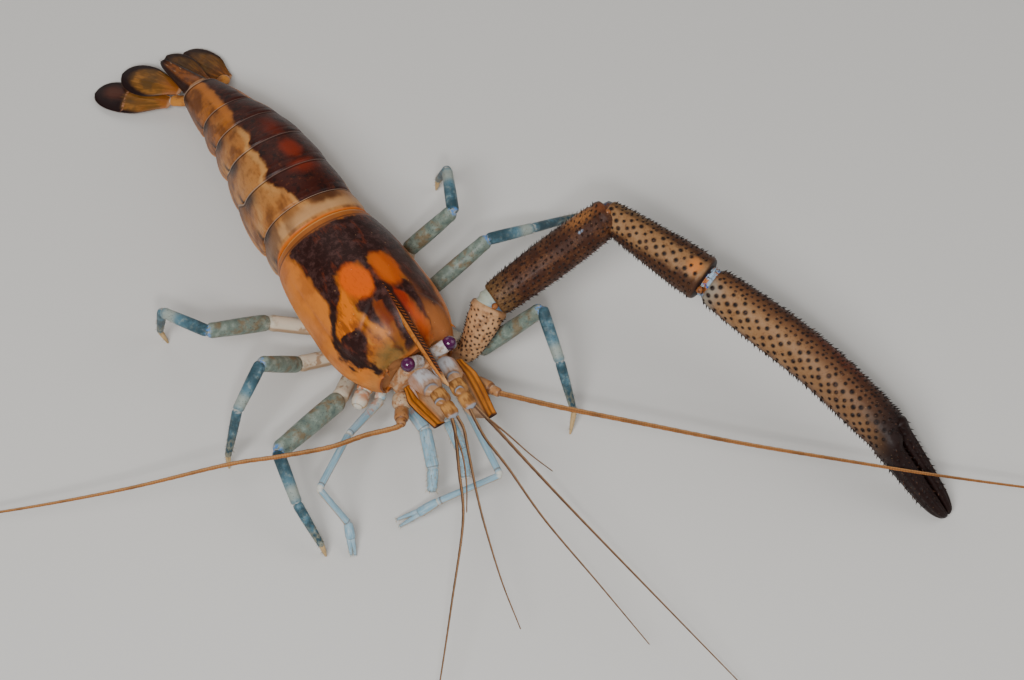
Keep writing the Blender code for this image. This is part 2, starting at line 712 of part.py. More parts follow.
def make_feelers(parts, parent):
    """Antennules and antennae, with their peduncles, scales and flagella."""
    for side in ("R", "L"):
        joints = ANTENNULE_JOINTS[side]
        front = Vector((0, -1, 0))
        rings = limb_rings(joints, ANTENNULE_RADII, 10, start=(Vector(joints[0]), front),
                           end=(Vector(joints[-1]), front), flat=ANTENNULE_FLATNESS, neck=0.9)
        add_object("antennule_peduncle_" + side, loft(rings), "feeler_orange", parts, parent)
        main = feeler_curve("feeler", OUTER_FLAGELLA[side], 0.75, FEELER_TIP_RADIUS, 18, parts, parent)
        branch = feeler_curve("feeler", SHORT_BRANCHES[side], 0.5, FEELER_TIP_RADIUS, 7, parts, parent)
        additions = [curve_as_bmesh(branch)]
        outer = add_object("antennule_outer_" + side, curve_as_bmesh(main), "feeler_orange", parts, parent)
        fuse(outer, additions)
        feeler_curve("antennule_inner_" + side, INNER_FLAGELLA[side], 0.7, FEELER_TIP_RADIUS, 16, parts,
                     parent)
        joints = ANTENNA_JOINTS[side]
        last = Vector(joints[2])
        way = (last - Vector(joints[1])).normalized()
        route = (last + way * GAP, *ANTENNA_ROUTES[side])
        rings = limb_rings(joints, ANTENNA_RADII, 8, start=(Vector(joints[0]), front), end=(last, way),
                           neck=0.9)
        add_object("antenna_peduncle_" + side, loft(rings), "feeler_orange", parts, parent)
        feeler_curve("antenna_flagellum_" + side, route, 1.1, FEELER_TIP_RADIUS, 26, parts, parent)
        add_object("antenna_scale_" + side, loft(blade_rings(*SCALES[side], ridges=1)), "feeler_orange",
                   parts, parent)


# Slender limbs: points after the root, radii by segment
MAXILLIPEDS = {
    "R": ((-7.6, -64.0, 16.0), (-7.1, -78.9, 16.0), (-11.5, -91.5, 12.0), (-15.4, -97.1, 8.0)),
    "L": ((4.6, -66.0, 16.4), (1.6, -80.6, 16.0), (0.8, -90.4, 12.0), (-2.6, -98.6, 8.0)),
}
MAXILLIPED_RADII = [(2.2, 2.3, 2.2), (2.2, 2.3, 2.1), (2.0, 1.9, 1.5), (1.3, 1.0, 0.6)]
FIRST_LEGS = {
    "R": ((-13.6, -58.6, 11.6), (-31.1, -67.7, 18.0), (-50.8, -83.4, 24.0), (-45.6, -91.9, 7.0),
          (-48.9, -101.1, 0.0)),
    "L": ((14.0, -58.4, 9.8), (8.6, -80.1, 20.0), (4.9, -109.0, 20.0), (-15.8, -101.3, 8.0),
          (-30.4, -99.3, 1.6)),
}
FIRST_LEG_RADII = [(2.1, 2.0, 1.8), (1.8, 1.5, 1.3), (1.3, 1.3, 1.2), (1.2, 1.2, 1.3), (1.4, 1.4, 0.8)]
SMALL_FINGER_SHARE = 0.42
SMALL_FINGER_OPEN = 2.4
SMALL_FINGER_RADII = (1.0, 0.8, 0.5)
WALKING_LEGS = {
    "3_R": ((-16.6, -43.0, 8.6), (-26.1, -51.9, 13.8), (-55.2, -61.6, 19.8), (-58.3, -80.2, 15.0),
            (-57.1, -93.9, 5.0), (-57.0, -95.9, 0.0)),
    "3_L": ((19.0, -43.2, 7.4), (28.6, -56.6, 6.2), (49.4, -64.2, 27.0), (45.6, -82.3, 20.0),
            (43.7, -95.1, 5.5), (39.3, -99.6, 0.0)),
    "4_R": ((-18.5, -33.6, 9.6), (-31.9, -32.6, 15.0), (-45.7, -33.8, 30.0), (-60.4, -43.2, 25.0),
            (-68.3, -47.2, 6.0), (-69.3, -48.8, 0.0)),
    "4_L": ((17.5, -32.0, 8.4), (25.4, -29.0, 13.0), (49.2, -28.0, 24.0), (66.8, -30.2, 20.0),
            (88.8, -26.3, 5.0), (94.3, -26.2, 0.0)),
    "5_R": ((-18.5, -19.6, 9.6), (-32.7, -12.1, 15.0), (-54.3, -9.8, 25.0), (-64.0, 5.9, 24.0),
            (-65.3, 9.9, 6.0), (-64.2, 7.2, 0.0)),
    "5_L": ((17.5, -19.0, 8.4), (25.6, -10.8, 13.0), (43.7, -12.9, 27.0), (51.9, 5.2, 24.0),
            (52.6, 13.8, 6.0), (51.5, 13.6, 0.0)),
}
LEG_STOUTNESS = {"3_R": 1.2}
WALKING_RADII = [(3.4, 3.3, 3.0), (2.8, 2.9, 2.8), (2.9, 3.0, 2.5), (2.2, 2.2, 1.8), (1.8, 1.6, 1.1),
                 (1.0, 0.8, FOOT_RADIUS)]
LEG_ROOT_Y = {"1": -53.8, "2": -48.0, "3": -40.0, "4": -31.0, "5": -21.4}


def leg_root(side, leg):
    """Plane of a leg's root on the thorax, a gap clear of it."""
    point, normal = thorax_side(-1 if side == "R" else 1, LEG_ROOT_Y[leg])
    return point + normal * (GAP + 0.15), normal


def small_finger(wrist, tip):
    """The second finger of a first leg's small pincer, which stands off the other one at its tip."""
    way = (tip - wrist).normalized()
    aside = way.cross(Vector((0, 0, 1))).normalized()
    root = lerp(wrist, tip, SMALL_FINGER_SHARE) + aside * 0.4
    end = tip + aside * SMALL_FINGER_OPEN + Vector((0, 0, 0.8))
    return loft(limb_rings((root, end), [SMALL_FINGER_RADII]))


def limb_node(name, points, radii, finish, parts, parent, start=None, end=None, sides=LIMB_SIDES, flat=1.0,
              neck=0.82):
    """One node of a limb."""
    rings = limb_rings(points, radii, sides, start=start, end=end, flat=flat, neck=neck)
    return add_object(name, loft(rings), finish, parts, parent)


def make_slender_limbs(parts, parent):
    """Third maxillipeds, first legs and the three pairs of walking legs."""
    for side in ("R", "L"):
        sign = -1 if side == "R" else 1
        root = body_point(sign * 4.6, THORAX_FRONT - GAP, 12.6)
        limb_node("maxilliped_" + side, (root, *MAXILLIPEDS[side]), [(2.2, 2.2, 2.2), *MAXILLIPED_RADII],
                  "leg_pale_blue", parts, parent, start=(root, Vector((0, -1, 0))), flat=0.8)
        point, normal = leg_root(side, "1")
        joints = [Vector(p) for p in FIRST_LEGS[side]]
        foot = floor_plane(joints[4]) if side == "R" else None
        limb_node("leg_1_upper_" + side, (point, *joints[:3]), FIRST_LEG_RADII[:3], "leg_pale_blue",
                  parts, parent, start=(point, normal), end=mitre(joints[1], joints[2], joints[3], -1))
        lower = limb_node("leg_1_lower_" + side, joints[2:], FIRST_LEG_RADII[3:], "leg_pale_blue", parts,
                          parent, start=mitre(joints[1], joints[2], joints[3], 1), end=foot)
        fuse(lower, [small_finger(joints[3], joints[4])])
    for name, joints in WALKING_LEGS.items():
        point, normal = leg_root(name[-1], name[0])
        stout = LEG_STOUTNESS.get(name, 1.0)
        radii = WALKING_RADII[:2] + [tuple(r * stout for r in WALKING_RADII[2])] + WALKING_RADII[3:]
        limb_node("leg_%s_upper_%s" % (name[0], name[-1]), (point, *joints[:3]), radii[:3],
                  "leg_teal", parts, parent, start=(point, normal),
                  end=mitre(joints[1], joints[2], joints[3], -1))
        limb_node("leg_%s_lower_%s" % (name[0], name[-1]), joints[2:], radii[3:], "leg_teal",
                  parts, parent, start=mitre(joints[1], joints[2], joints[3], 1),
                  end=floor_plane(joints[5]))


# The big claw on the left and the stump on the right
CLAW_JOINTS = [(17.4, -53.4, 9.8), (23.0, -58.1, 14.0), (36.5, -51.6, 25.0), (85.1, -51.0, 41.0),
               (101.4, -89.2, 36.0), (118.0, -131.2, 27.5), (127.4, -167.4, 20.0)]
CLAW_TIP = (133.7, -194.6, 0.0)
CLAW_RADII = {
    "claw_ischium": [(3.5, 3.4, 3.5), (3.6, 4.2, 4.6), (5.0, 6.0, 6.4)],
    "claw_merus": [(6.4, 7.4, 6.6)],
    "claw_carpus": [(5.4, 7.2, 8.2)],
    "claw_palm": [(7.3, 8.5, 8.6), (8.6, 8.4, 7.7)],
}
# Half widths of the fixed and the moving finger, and how deep each is for its width
FINGER_HALF_WIDTHS = (4.2, 3.0)
FINGER_DEPTHS = (1.25, 1.75)
STUMP_TIP = (-22.0, -57.4, 12.6)
# Spines of the claw: rows round it, spines in a row, and where along it the rows start and end
SPINE_ROWS = {
    "claw_ischium": (6, 3, 0.52, 0.86),
    "claw_merus": (8, 8, 0.10, 0.86),
    "claw_carpus": (8, 6, 0.18, 0.86),
    "claw_palm": (9, 16, 0.07, 0.93),
    "claw_finger": (4, 5, 0.12, 0.62),
}
SPINE_LENGTH = 1.4
SPINE_RADIUS = 0.6
SPINE_LEAN = 0.7
SPINE_DRIFT = 0.2
SPINE_SEED = 11


def finger_rings(start, end, across, up, side, half_width, depth, count=8):
    """Rings of a finger that thins towards its tip, on one side of the line between the fingers."""
    rings = []
    for k in range(count):
        t = k / (count - 1)
        half = half_width * (1.0 - 0.4 * t - 0.34 * t ** 10)
        middle = lerp(start, end, t) + across * (side * (half + GAP / 2))
        ring = circle_ring(middle, across, up, half, half * depth, 10)
        rings.append(ring)
    return rings


def loft_spot(rings, turn, place):
    """Point, outward direction and way along of a spot on a loft: turn goes round it, place along it."""
    centres = [sum(ring, Vector()) / len(ring) for ring in rings]
    steps = [(b - a).length for a, b in zip(centres, centres[1:])]
    left = place * sum(steps)
    k = 0
    while k < len(steps) - 1 and left > steps[k]:
        left -= steps[k]
        k += 1
    count = len(rings[0])
    i = int(turn * count) % count
    j = (i + 1) % count
    u = turn * count - math.floor(turn * count)
    near = lerp(rings[k][i], rings[k][j], u)
    far = lerp(rings[k + 1][i], rings[k + 1][j], u)
    root = lerp(near, far, left / steps[k])
    out = (rings[k][j] - rings[k][i]).cross(far - near).normalized()
    if out.dot(root - lerp(centres[k], centres[k + 1], left / steps[k])) < 0:
        out = -out
    return root, out, (centres[k + 1] - centres[k]).normalized()


def claw_spines(name, rings, draw):
    """Spines in staggered rows over a length of the claw, leaning towards its tip."""
    rows, count, start, end = SPINE_ROWS[name]
    made = []
    for row in range(rows):
        for k in range(count):
            turn = (row + 0.5 + draw.uniform(-SPINE_DRIFT, SPINE_DRIFT)) / rows
            step = k + 0.5 * (row % 2) + 0.25 + draw.uniform(-SPINE_DRIFT, SPINE_DRIFT)
            root, out, way = loft_spot(rings, turn, lerp(start, end, step / count))
            length = SPINE_LENGTH * draw.uniform(0.8, 1.1)
            made.append(spine(root, out + way * SPINE_LEAN, length, SPINE_RADIUS))
    return made


def make_claw(parts, parent):
    """The long left claw in five nodes, and the short stump of the lost right one."""
    draw = random.Random(SPINE_SEED)
    point, normal = leg_root("L", "2")
    joints = [Vector(p) for p in CLAW_JOINTS]
    knuckle = joints[6]
    way = (knuckle - joints[5]).normalized()
    lengths = {
        "claw_ischium": ((point, *joints[:3]), (point, normal),
                         mitre(joints[1], joints[2], joints[3], -1), 0.82),
        "claw_merus": (joints[2:4], mitre(joints[1], joints[2], joints[3], 1),
                       mitre(joints[2], joints[3], joints[4], -1), 0.72),
        "claw_carpus": (joints[3:5], mitre(joints[2], joints[3], joints[4], 1),
                        mitre(joints[3], joints[4], joints[5], -1), 0.72),
        "claw_palm": (joints[4:], mitre(joints[3], joints[4], joints[5], 1), (knuckle, way), 0.94),
    }
    tip = Vector(CLAW_TIP)
    along = (tip - knuckle).normalized()
    across = along.cross(Vector((0, 0, 1))).normalized()
    up = across.cross(along)
    fixed = finger_rings(knuckle - along * 3.0, tip, across, up, 1, FINGER_HALF_WIDTHS[0],
                         FINGER_DEPTHS[0])
    fixed[-1] = onto_plane(fixed[-1], along, *floor_plane(tip))
    for name, (points, start, end, neck) in lengths.items():
        rings = limb_rings(points, CLAW_RADII[name], CLAW_SIDES, start=start, end=end, neck=neck)
        finish = "joint_white" if name == "claw_ischium" else "claw_brown"
        made = add_object(name, loft(rings), finish, parts, parent)
        additions = claw_spines(name, rings, draw)
        if name == "claw_palm":
            additions += [loft(fixed)] + claw_spines("claw_finger", fixed, draw)
        fuse(made, additions)
    moving = finger_rings(knuckle + along * 1.0, tip, across, up, -1, FINGER_HALF_WIDTHS[1],
                          FINGER_DEPTHS[1])
    moving[0] = onto_plane(moving[0], along, knuckle + way * GAP, way)
    moving[-1] = onto_plane(moving[-1], along, *floor_plane(tip))
    finger = add_object("claw_finger", loft(moving), "claw_brown", parts, parent)
    fuse(finger, claw_spines("claw_finger", moving, draw))
    point, normal = leg_root("R", "2")
    limb_node("claw_stump_R", (point, STUMP_TIP), [(2.8, 2.8, 2.6)], "joint_white", parts, parent,
              start=(point, normal))


def main():
    """Build every node of the animal."""
    clear_scene()
    parts = new_collection("bigclaw_river_shrimp")
    parent = bpy.data.objects.new("footprint", None)
    parent.location = (-FOOTPRINT_CENTRE[0] * MM, -FOOTPRINT_CENTRE[1] * MM, 0.0)
    parts.objects.link(parent)
    make_carapace(parts, parent)
    make_thorax(parts, parent)
    make_head(parts, parent)
    make_abdomen(parts, parent)
    make_tail_fan(parts, parent)
    make_eyes(parts, parent)
    make_feelers(parts, parent)
    make_slender_limbs(parts, parent)
    make_claw(parts, parent)
    bpy.context.view_layer.update()


if __name__ == "__main__":
    main()
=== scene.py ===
"""Looks of the bigclaw river shrimp, laid out as an add-on and run as a script.

Sizes and places are in millimetres in the shrimp's own frame, as in its solids: the origin is on the
floor under the middle of the carapace's rear margin, the head points along -Y and the animal's left is
+X. The function at() turns such a place into the frame's metres.
"""
import math
import random

import bmesh
import bpy
from bpy.props import FloatProperty, FloatVectorProperty, IntProperty, PointerProperty
from mathutils import Matrix, Vector
from mathutils.kdtree import KDTree


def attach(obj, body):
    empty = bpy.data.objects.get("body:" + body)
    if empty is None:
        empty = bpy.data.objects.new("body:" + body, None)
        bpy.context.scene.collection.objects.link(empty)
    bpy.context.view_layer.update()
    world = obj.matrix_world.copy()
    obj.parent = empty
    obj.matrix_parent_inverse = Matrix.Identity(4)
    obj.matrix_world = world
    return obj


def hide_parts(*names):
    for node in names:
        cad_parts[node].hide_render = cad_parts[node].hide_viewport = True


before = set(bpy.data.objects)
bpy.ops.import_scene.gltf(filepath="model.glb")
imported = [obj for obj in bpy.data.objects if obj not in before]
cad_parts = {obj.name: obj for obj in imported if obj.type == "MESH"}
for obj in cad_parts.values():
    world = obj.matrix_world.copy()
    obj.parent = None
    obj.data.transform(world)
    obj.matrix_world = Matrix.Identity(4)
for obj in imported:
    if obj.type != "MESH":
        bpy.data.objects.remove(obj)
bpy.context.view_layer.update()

bl_info = {
    "name": "Bigclaw River Shrimp",
    "version": (1, 0, 0),
    "blender": (4, 5, 0),
    "location": "3D View > Sidebar > Shrimp",
    "description": "Shell plates, claw, legs, feelers and finishes of a life-size river shrimp",
    "category": "Mesh",
}

MM = 0.001
CENTRE = (3.999, -60.879)
WELD = 0.000001
SORT_WAY = Vector((1, 0.618, 0.414))
SHARP_ANGLE = math.radians(70)
# Sign of X on each side of the animal
SIDES = {"R": -1, "L": 1}
# Points round each skin
CARAPACE_AROUND = 172
ROSTRUM_AROUND = 24
RING_AROUND = 128
BLADE_AROUND = 72
TELSON_AROUND = 56
SCALE_AROUND = 64
CLAW_AROUND = 120
PALM_AROUND = 132
FINGER_AROUND = 72

# Carapace stations from the rear margin forward: y, half width, crest height, widest height, edge height
CARAPACE_STATIONS = [
    (0, 19.2, 42, 22.5, 14.6),
    (-3, 20.4, 42.4, 22, 15.4),
    (-11, 22, 43.6, 21.6, 16.6),
    (-20, 22.8, 45, 21, 16.6),
    (-30, 23, 46.2, 20.6, 16),
    (-39, 23, 46.8, 20.4, 15),
    (-47, 21.8, 46, 20.6, 14.6),
    (-53, 19.4, 43.6, 21.6, 15),
    (-57.5, 16.8, 39.6, 23.2, 16.2),
    (-61, 14, 35.4, 24.6, 18.2),
]
CARAPACE_FRONT = -61
CARAPACE_ROLL = math.radians(5)
ROLL_HEIGHT = 24
EDGE_SHARE = 0.86
# Half width and buried length of the spines on the carapace's front edge and beside the antennules
FRONT_SPINE_RADIUS = 0.7
FRONT_SPINE_SUNK = 1.6
# Share of the turn that the carapace's outer face takes; its underside takes the rest
SHIELD_TURN = 0.86

# Rostrum: y, underside height, back height, half thickness
ROSTRUM_STATIONS = [
    (-30, 42, 46.6, 0.9),
    (-42, 43, 47.8, 1.3),
    (-52, 40.4, 47.4, 1.6),
    (-58, 39.2, 46.2, 1.7),
    (-64, 38.8, 44.8, 1.6),
    (-70, 37.8, 43.2, 1.3),
    (-75, 37.6, 41.8, 0.9),
    (-79.8, 38.9, 39.9, 0.3),
]
ROSTRUM_TEETH = 12
ROSTRUM_TEETH_SPAN = (-34.5, -77)
UNDER_TEETH_SPAN = (-66, -76)

# Abdomen margins: y at the back, x of the middle, height of the back, half width, height of the side
# plates' lower edge, roll in degrees, slant of the margin
ABDOMEN_MARGINS = [
    (0.6, -1.5, 41.2, 18.2, 13, 6, 0),
    (10.2, -1.5, 41.8, 17.8, 11.6, 8, 0.12),
    (25.5, -1, 41, 16.8, 10.4, 9, 0.26),
    (42.5, -0.2, 37.6, 15, 9.6, 9, 0.26),
    (57.5, -0.8, 32.8, 13, 8.8, 8, 0.2),
    (71, -2.4, 27.4, 10.8, 8, 7, 0.12),
    (91, -5, 18.6, 7.4, 7.4, 4, 0),
]
# Side plates of the rings: how far each hangs, and how far it spreads over its neighbours
SIDE_PLATES = [(1, 0.4), (1.8, 2.6), (1.4, 1), (1.2, 0.8), (1, 0.6), (0, 0)]
# Turns at which a ring's section goes from side plate to back, to side plate and to belly
RING_TURNS = (0.14, 0.62, 0.76)
SWIMMER_LENGTHS = [12.5, 13.5, 12.5, 10, 6.5]

TELSON_START = (-5.4, 91.6, 13.4)
TELSON_END = (-9.9, 116, 6.4)
TELSON_ROLL = math.radians(4)
# Blades of the tail fan: start, end, tilt in degrees, half width
FAN_BLADES = {
    "uropod_endopod_R": ((-9.6, 99.6, 6.8), (-25.2, 119.55, 4.6), -3, 6.8),
    "uropod_exopod_R": ((-15.2, 98, 4.4), (-37.6, 119, 1.6), 3, 7.1),
    "uropod_endopod_L": ((0.6, 97.4, 7.2), (-6.4, 119.05, 3.9), 5, 5.4),
    "uropod_exopod_L": ((8.8, 96.2, 4.2), (0.6, 118.5, 1.6), -3, 6.3),
}
BLADE_RIBS = (-0.08, 0.12)
# Stems of the side blades: start, end
FAN_STEMS = {
    "uropod_base_R": ((-8.8, 92.6, 7), (-15, 98.4, 5)),
    "uropod_base_L": ((1.6, 93, 7.2), (7.8, 96.4, 5.9)),
}

# Centres of the eyes, and where their stalks leave the head
EYES = {"R": (-4.8, -64.9, 38.6), "L": (11.6, -64.6, 37.8)}
STALK_ROOTS = {"R": (0.2, -63.8, 32.6), "L": (5.4, -63.8, 32.6)}

# Joints and routes of the feelers; a row of radii holds a length's half widths at its start, middle and end
ANTENNULE_JOINTS = {
    "R": ((-2.8, -66.3, 31.2), (-0.5, -76, 33.4), (-0.3, -82, 33.4), (-0.3, -87.6, 33)),
    "L": ((7.5, -66.3, 31), (6.9, -76, 33.4), (6.7, -82, 33.4), (6.8, -87.5, 33)),
}
ANTENNULE_RADII = [(4.1, 4.3, 3.5), (2.8, 2.9, 2.7), (2.4, 2.5, 2.2)]
ANTENNULE_FLATNESS = 0.55
OUTER_FLAGELLA = {
    "R": ((-1.3, -87.9, 33.2), (-3, -93, 32.6), (-8.5, -104.5, 30), (-15.9, -119.4, 26),
          (-32.4, -139.7, 19), (-48.9, -159.4, 12), (-62, -174, 7)),
    "L": ((7.9, -87.8, 33.2), (10.1, -97.8, 31), (13.6, -114.1, 27), (18.4, -135.2, 22),
          (25.3, -165, 16), (33.5, -200.2, 9), (36.5, -214, 7)),
}
SHORT_BRANCHES = {
    "R": ((-2.7, -92, 32.8), (-5.4, -102, 32.4), (-9.4, -111, 30.6), (-14.2, -119, 28.6)),
    "L": ((9, -92.5, 32.2), (12, -102, 31.6), (15.2, -112, 29.6), (18.8, -120.5, 27.6)),
}
INNER_FLAGELLA = {
    "R": ((0.7, -87.9, 33), (0.3, -93, 32.2), (-2.3, -100.1, 31), (-7.4, -114.4, 27),
          (-10.6, -125.4, 23), (-14.5, -142, 17), (-17, -158, 12)),
    "L": ((5.8, -87.8, 33), (5.2, -93.5, 32.2), (5, -100.2, 31), (6.5, -111.6, 28),
          (8.4, -132.1, 22), (13.2, -159.2, 15), (17.3, -184, 9)),
}
ANTENNA_JOINTS = {
    "R": ((-8.8, -66.3, 22.6), (-11.4, -70.8, 22.4), (-14.2, -75.4, 24)),
    "L": ((12.4, -66.3, 21.8), (15.4, -74, 22.2), (18.4, -81.6, 25)),
}
ANTENNA_RADII = [(3.2, 3.3, 2.8), (2.4, 2.5, 2.2)]
ANTENNA_ROUTES = {
    "R": ((-15, -76.7, 24.5), (-17.2, -77.1, 25), (-21.5, -76.5, 25.9), (-28.6, -75.2, 27.2),
          (-41.2, -73.8, 29), (-58, -68.9, 31), (-74.5, -61.9, 30), (-107.9, -47.7, 22),
          (-145.5, -29.7, 14), (-178, -12, 8), (-205, 4, 4)),
    "L": ((19.6, -84.2, 25.5), (24, -89.2, 25.9), (34.3, -100.1, 26), (54.3, -119.6, 26),
          (79.8, -142.9, 24), (103.3, -162.9, 22), (129.5, -184.9, 20), (155.1, -204.6, 17),
          (183, -224, 12), (213, -243, 5)),
}
# Antennal scales: start, end, tilt in degrees, half width
SCALES = {
    "R": ((-5.4, -66.9, 27.4), (-2.8, -86, 28.6), -4, 5.2),
    "L": ((12.3, -66.6, 26.8), (9.4, -92.4, 28.4), 4, 5.2),
}

# Joints of the limbs from body to tip, with radii as above; a leg's first joint comes from leg_root()
MAXILLIPEDS = {
    "R": ((-7.6, -64, 16), (-7.1, -78.9, 16), (-11.5, -91.5, 12), (-15.4, -97.1, 8)),
    "L": ((4.6, -66, 16.4), (1.6, -80.6, 16), (0.8, -90.4, 12), (-2.6, -98.6, 8)),
}
MAXILLIPED_RADII = [(2.2, 2.2, 2.2), (2.2, 2.3, 2.2), (2.2, 2.3, 2.1), (2, 1.9, 1.5), (1.3, 1, 0.6)]
FIRST_LEGS = {
    "R": ((-13.6, -58.6, 11.6), (-31.1, -67.7, 18), (-50.8, -83.4, 24), (-45.6, -91.9, 7),
          (-48.9, -101.1, 0.8)),
    "L": ((14, -58.4, 9.8), (8.6, -80.1, 20), (4.9, -109, 20), (-15.8, -101.3, 8),
          (-30.4, -99.3, 1.6)),
}
FIRST_LEG_RADII = [(2.1, 2, 1.8), (1.8, 1.5, 1.3), (1.3, 1.3, 1.2), (1.2, 1.2, 1.3), (1.4, 1.3, 0.6)]
WALKING_LEGS = {
    "3_R": ((-16.6, -43, 8.6), (-26.1, -51.9, 13.8), (-55.2, -61.6, 19.8), (-58.3, -80.2, 15),
            (-57.1, -93.9, 5), (-57, -95.9, 0.4)),
    "3_L": ((19, -43.2, 7.4), (28.6, -56.6, 6.2), (49.4, -64.2, 27), (45.6, -82.3, 20),
            (43.7, -95.1, 5.5), (39.3, -99.6, 0.4)),
    "4_R": ((-18.5, -33.6, 9.6), (-31.9, -32.6, 15), (-45.7, -33.8, 30), (-60.4, -43.2, 25),
            (-68.3, -47.2, 6), (-69.3, -48.8, 0.4)),
    "4_L": ((17.5, -32, 8.4), (25.4, -29, 13), (49.2, -28, 24), (66.8, -30.2, 20),
            (88.8, -26.3, 5), (94.3, -26.2, 0.4)),
    "5_R": ((-18.5, -19.6, 9.6), (-32.7, -12.1, 15), (-54.3, -9.8, 25), (-64, 5.9, 24),
            (-65.3, 9.9, 6), (-64.2, 7.2, 0.4)),
    "5_L": ((17.5, -19, 8.4), (25.6, -10.8, 13), (43.7, -12.9, 27), (51.9, 5.2, 24),
            (52.6, 13.8, 6), (51.5, 13.6, 0.4)),
}
LEG_STOUTNESS = {"3_R": 1.2}
LEG_HAIR_SEED = 5
MOUTH_HAIR_SEED = 9
WALKING_RADII = [(3.4, 3.3, 3), (2.8, 2.9, 2.8), (2.9, 3, 2.5), (2.2, 2.2, 1.8), (1.8, 1.6, 1.1),
                 (1, 0.8, 0.3)]
# Where each pair of legs leaves the thorax
LEG_ROOT_Y = {"1": -53.8, "2": -48, "3": -40, "4": -31, "5": -21.4}
THORAX_INSET = 4
STERNUM_HALF_WIDTH = 7
STERNUM_HEIGHT = 8.6
THORAX_FRONT = -56
# How far a leg's length swells before its joint
JOINT_LIP = 0.06
HAIR_RADIUS = 0.06
HAIR_SUNK = 0.2

# Joints of the big claw: ischium, merus, carpus, palm, then the palm's bend and the knuckle of its fingers
CLAW_JOINTS = [(17.4, -53.4, 9.8), (23, -58.1, 14), (36.5, -51.6, 25), (85.1, -51, 41),
               (101.4, -89.2, 36), (118, -131.2, 27.5), (127.4, -167.4, 20)]
CLAW_TIP = (133.7, -194.6, 0.6)
# Half widths along each length of the claw: share of its length, half width
CLAW_WIDTHS = {
    "claw_ischium": ((0, 3.4), (0.24, 3.5), (0.44, 3.9), (0.6, 4.7), (0.8, 6), (0.95, 6.5), (1, 6)),
    "claw_merus": ((0, 5.9), (0.06, 6.5), (0.5, 7.4), (0.88, 6.9), (1, 6.1)),
    "claw_carpus": ((0, 5), (0.08, 5.5), (0.5, 7.2), (0.84, 8.2), (0.95, 8.1), (1, 7.2)),
    "claw_palm": ((0, 6.1), (0.05, 7), (0.27, 8.1), (0.52, 8.2), (0.76, 8.1), (1, 7.6)),
}
# Half width of each finger and how deep it is for its width
FINGERS = {"fixed": (4.3, 1.25), "moving": (3.4, 1.6)}
STUMP_TIP = (-22, -57.4, 12.6)
# Spines of the claw: millimetres between rows and along them, length, half width, first and last share
SPINE_ROWS = {
    "claw_ischium": (2, 2, 0.8, 0.34, 0.46, 0.94),
    "claw_merus": (2, 2.1, 1.1, 0.3, 0.05, 0.95),
    "claw_carpus": (2.05, 2.1, 1.15, 0.34, 0.06, 0.95),
    "claw_palm": (2.1, 2.15, 1.25, 0.36, 0.03, 1),
    "fixed": (2.1, 2.2, 1.2, 0.32, 1.03, 1.8),
    "moving": (2.1, 2.2, 1.2, 0.32, 0.1, 0.8),
}
# Millimetres round the palm and the fingers, for the number of their rows of spines
GIRTHS = {"claw_palm": 52, "fixed": 24, "moving": 20}
# Strip of stouter, sparser spines: middle and half width as shares of the turn
CLEAR_STRIPS = {"claw_palm": (0.08, 0.14), "claw_carpus": (0.17, 0.08)}
# Low teeth along the inner edge of each finger
FINGER_TEETH = 11
# A dot's reach for its spine's half width
DOT_REACH = 1.25

CAMERA_PLACE = (-184.5, -425.8, 751)
CAMERA_AIM = (42, -56.1, 0)
CAMERA_ANGLE = math.radians(24)


def lerp(a, b, t):
    """Blend two numbers or two vectors."""
    return a + (b - a) * t


def hump(value, middle, width):
    """A smooth bump of height 1."""
    return math.exp(-((value - middle) / width) ** 2)


def ease(value, low, high):
    """A smooth step from 0 at low to 1 at high."""
    t = min(1, max(0, (value - low) / (high - low)))
    return t * t * (3 - 2 * t)


def round_start(share):
    """Half width of a rounded end at a share of the end's length from its pole; 1 beyond the end."""
    return math.sqrt(1 - (1 - min(1, share)) ** 2)


def round_stop(share, power=2):
    """Half width of a rounded end at a share of the end's length towards its pole; 1 before the end."""
    return math.sqrt(max(0, 1 - max(0, share) ** power))


def crowded(count):
    """Shares from 0 to 1 that lie closer together towards both ends."""
    return [0.5 - 0.5 * math.cos(math.pi * k / count) for k in range(count + 1)]


def blunt(share):
    """Half width of a blunt end at a share of the end's length from its pole; 1 beyond the end."""
    return math.sqrt(min(1, share))


def path_length(path):
    """Length along a path's points."""
    return sum((b - a).length for a, b in zip(path, path[1:]))


def at(point):
    """The frame's place of a point in the shrimp's own millimetres."""
    return Vector(((point[0] - CENTRE[0]) * MM, (point[1] - CENTRE[1]) * MM, point[2] * MM))


def smooth_value(rows, place, column=1):
    """Read a column of a table at a place along its first column, on a smooth curve through its rows."""
    ordered = sorted(rows)
    last = len(ordered) - 1
    place = min(max(place, ordered[0][0]), ordered[last][0])
    k = next(i for i in range(last) if place <= ordered[i + 1][0])
    slopes = []
    for i in (k, k + 1):
        low, high = ordered[max(i - 1, 0)], ordered[min(i + 1, last)]
        slopes.append((high[column] - low[column]) / (high[0] - low[0]))
    a, b = ordered[k], ordered[k + 1]
    span = b[0] - a[0]
    t = (place - a[0]) / span
    return ((2 * t ** 3 - 3 * t ** 2 + 1) * a[column] + (t ** 3 - 2 * t ** 2 + t) * span * slopes[0]
            + (3 * t ** 2 - 2 * t ** 3) * b[column] + (t ** 3 - t ** 2) * span * slopes[1])


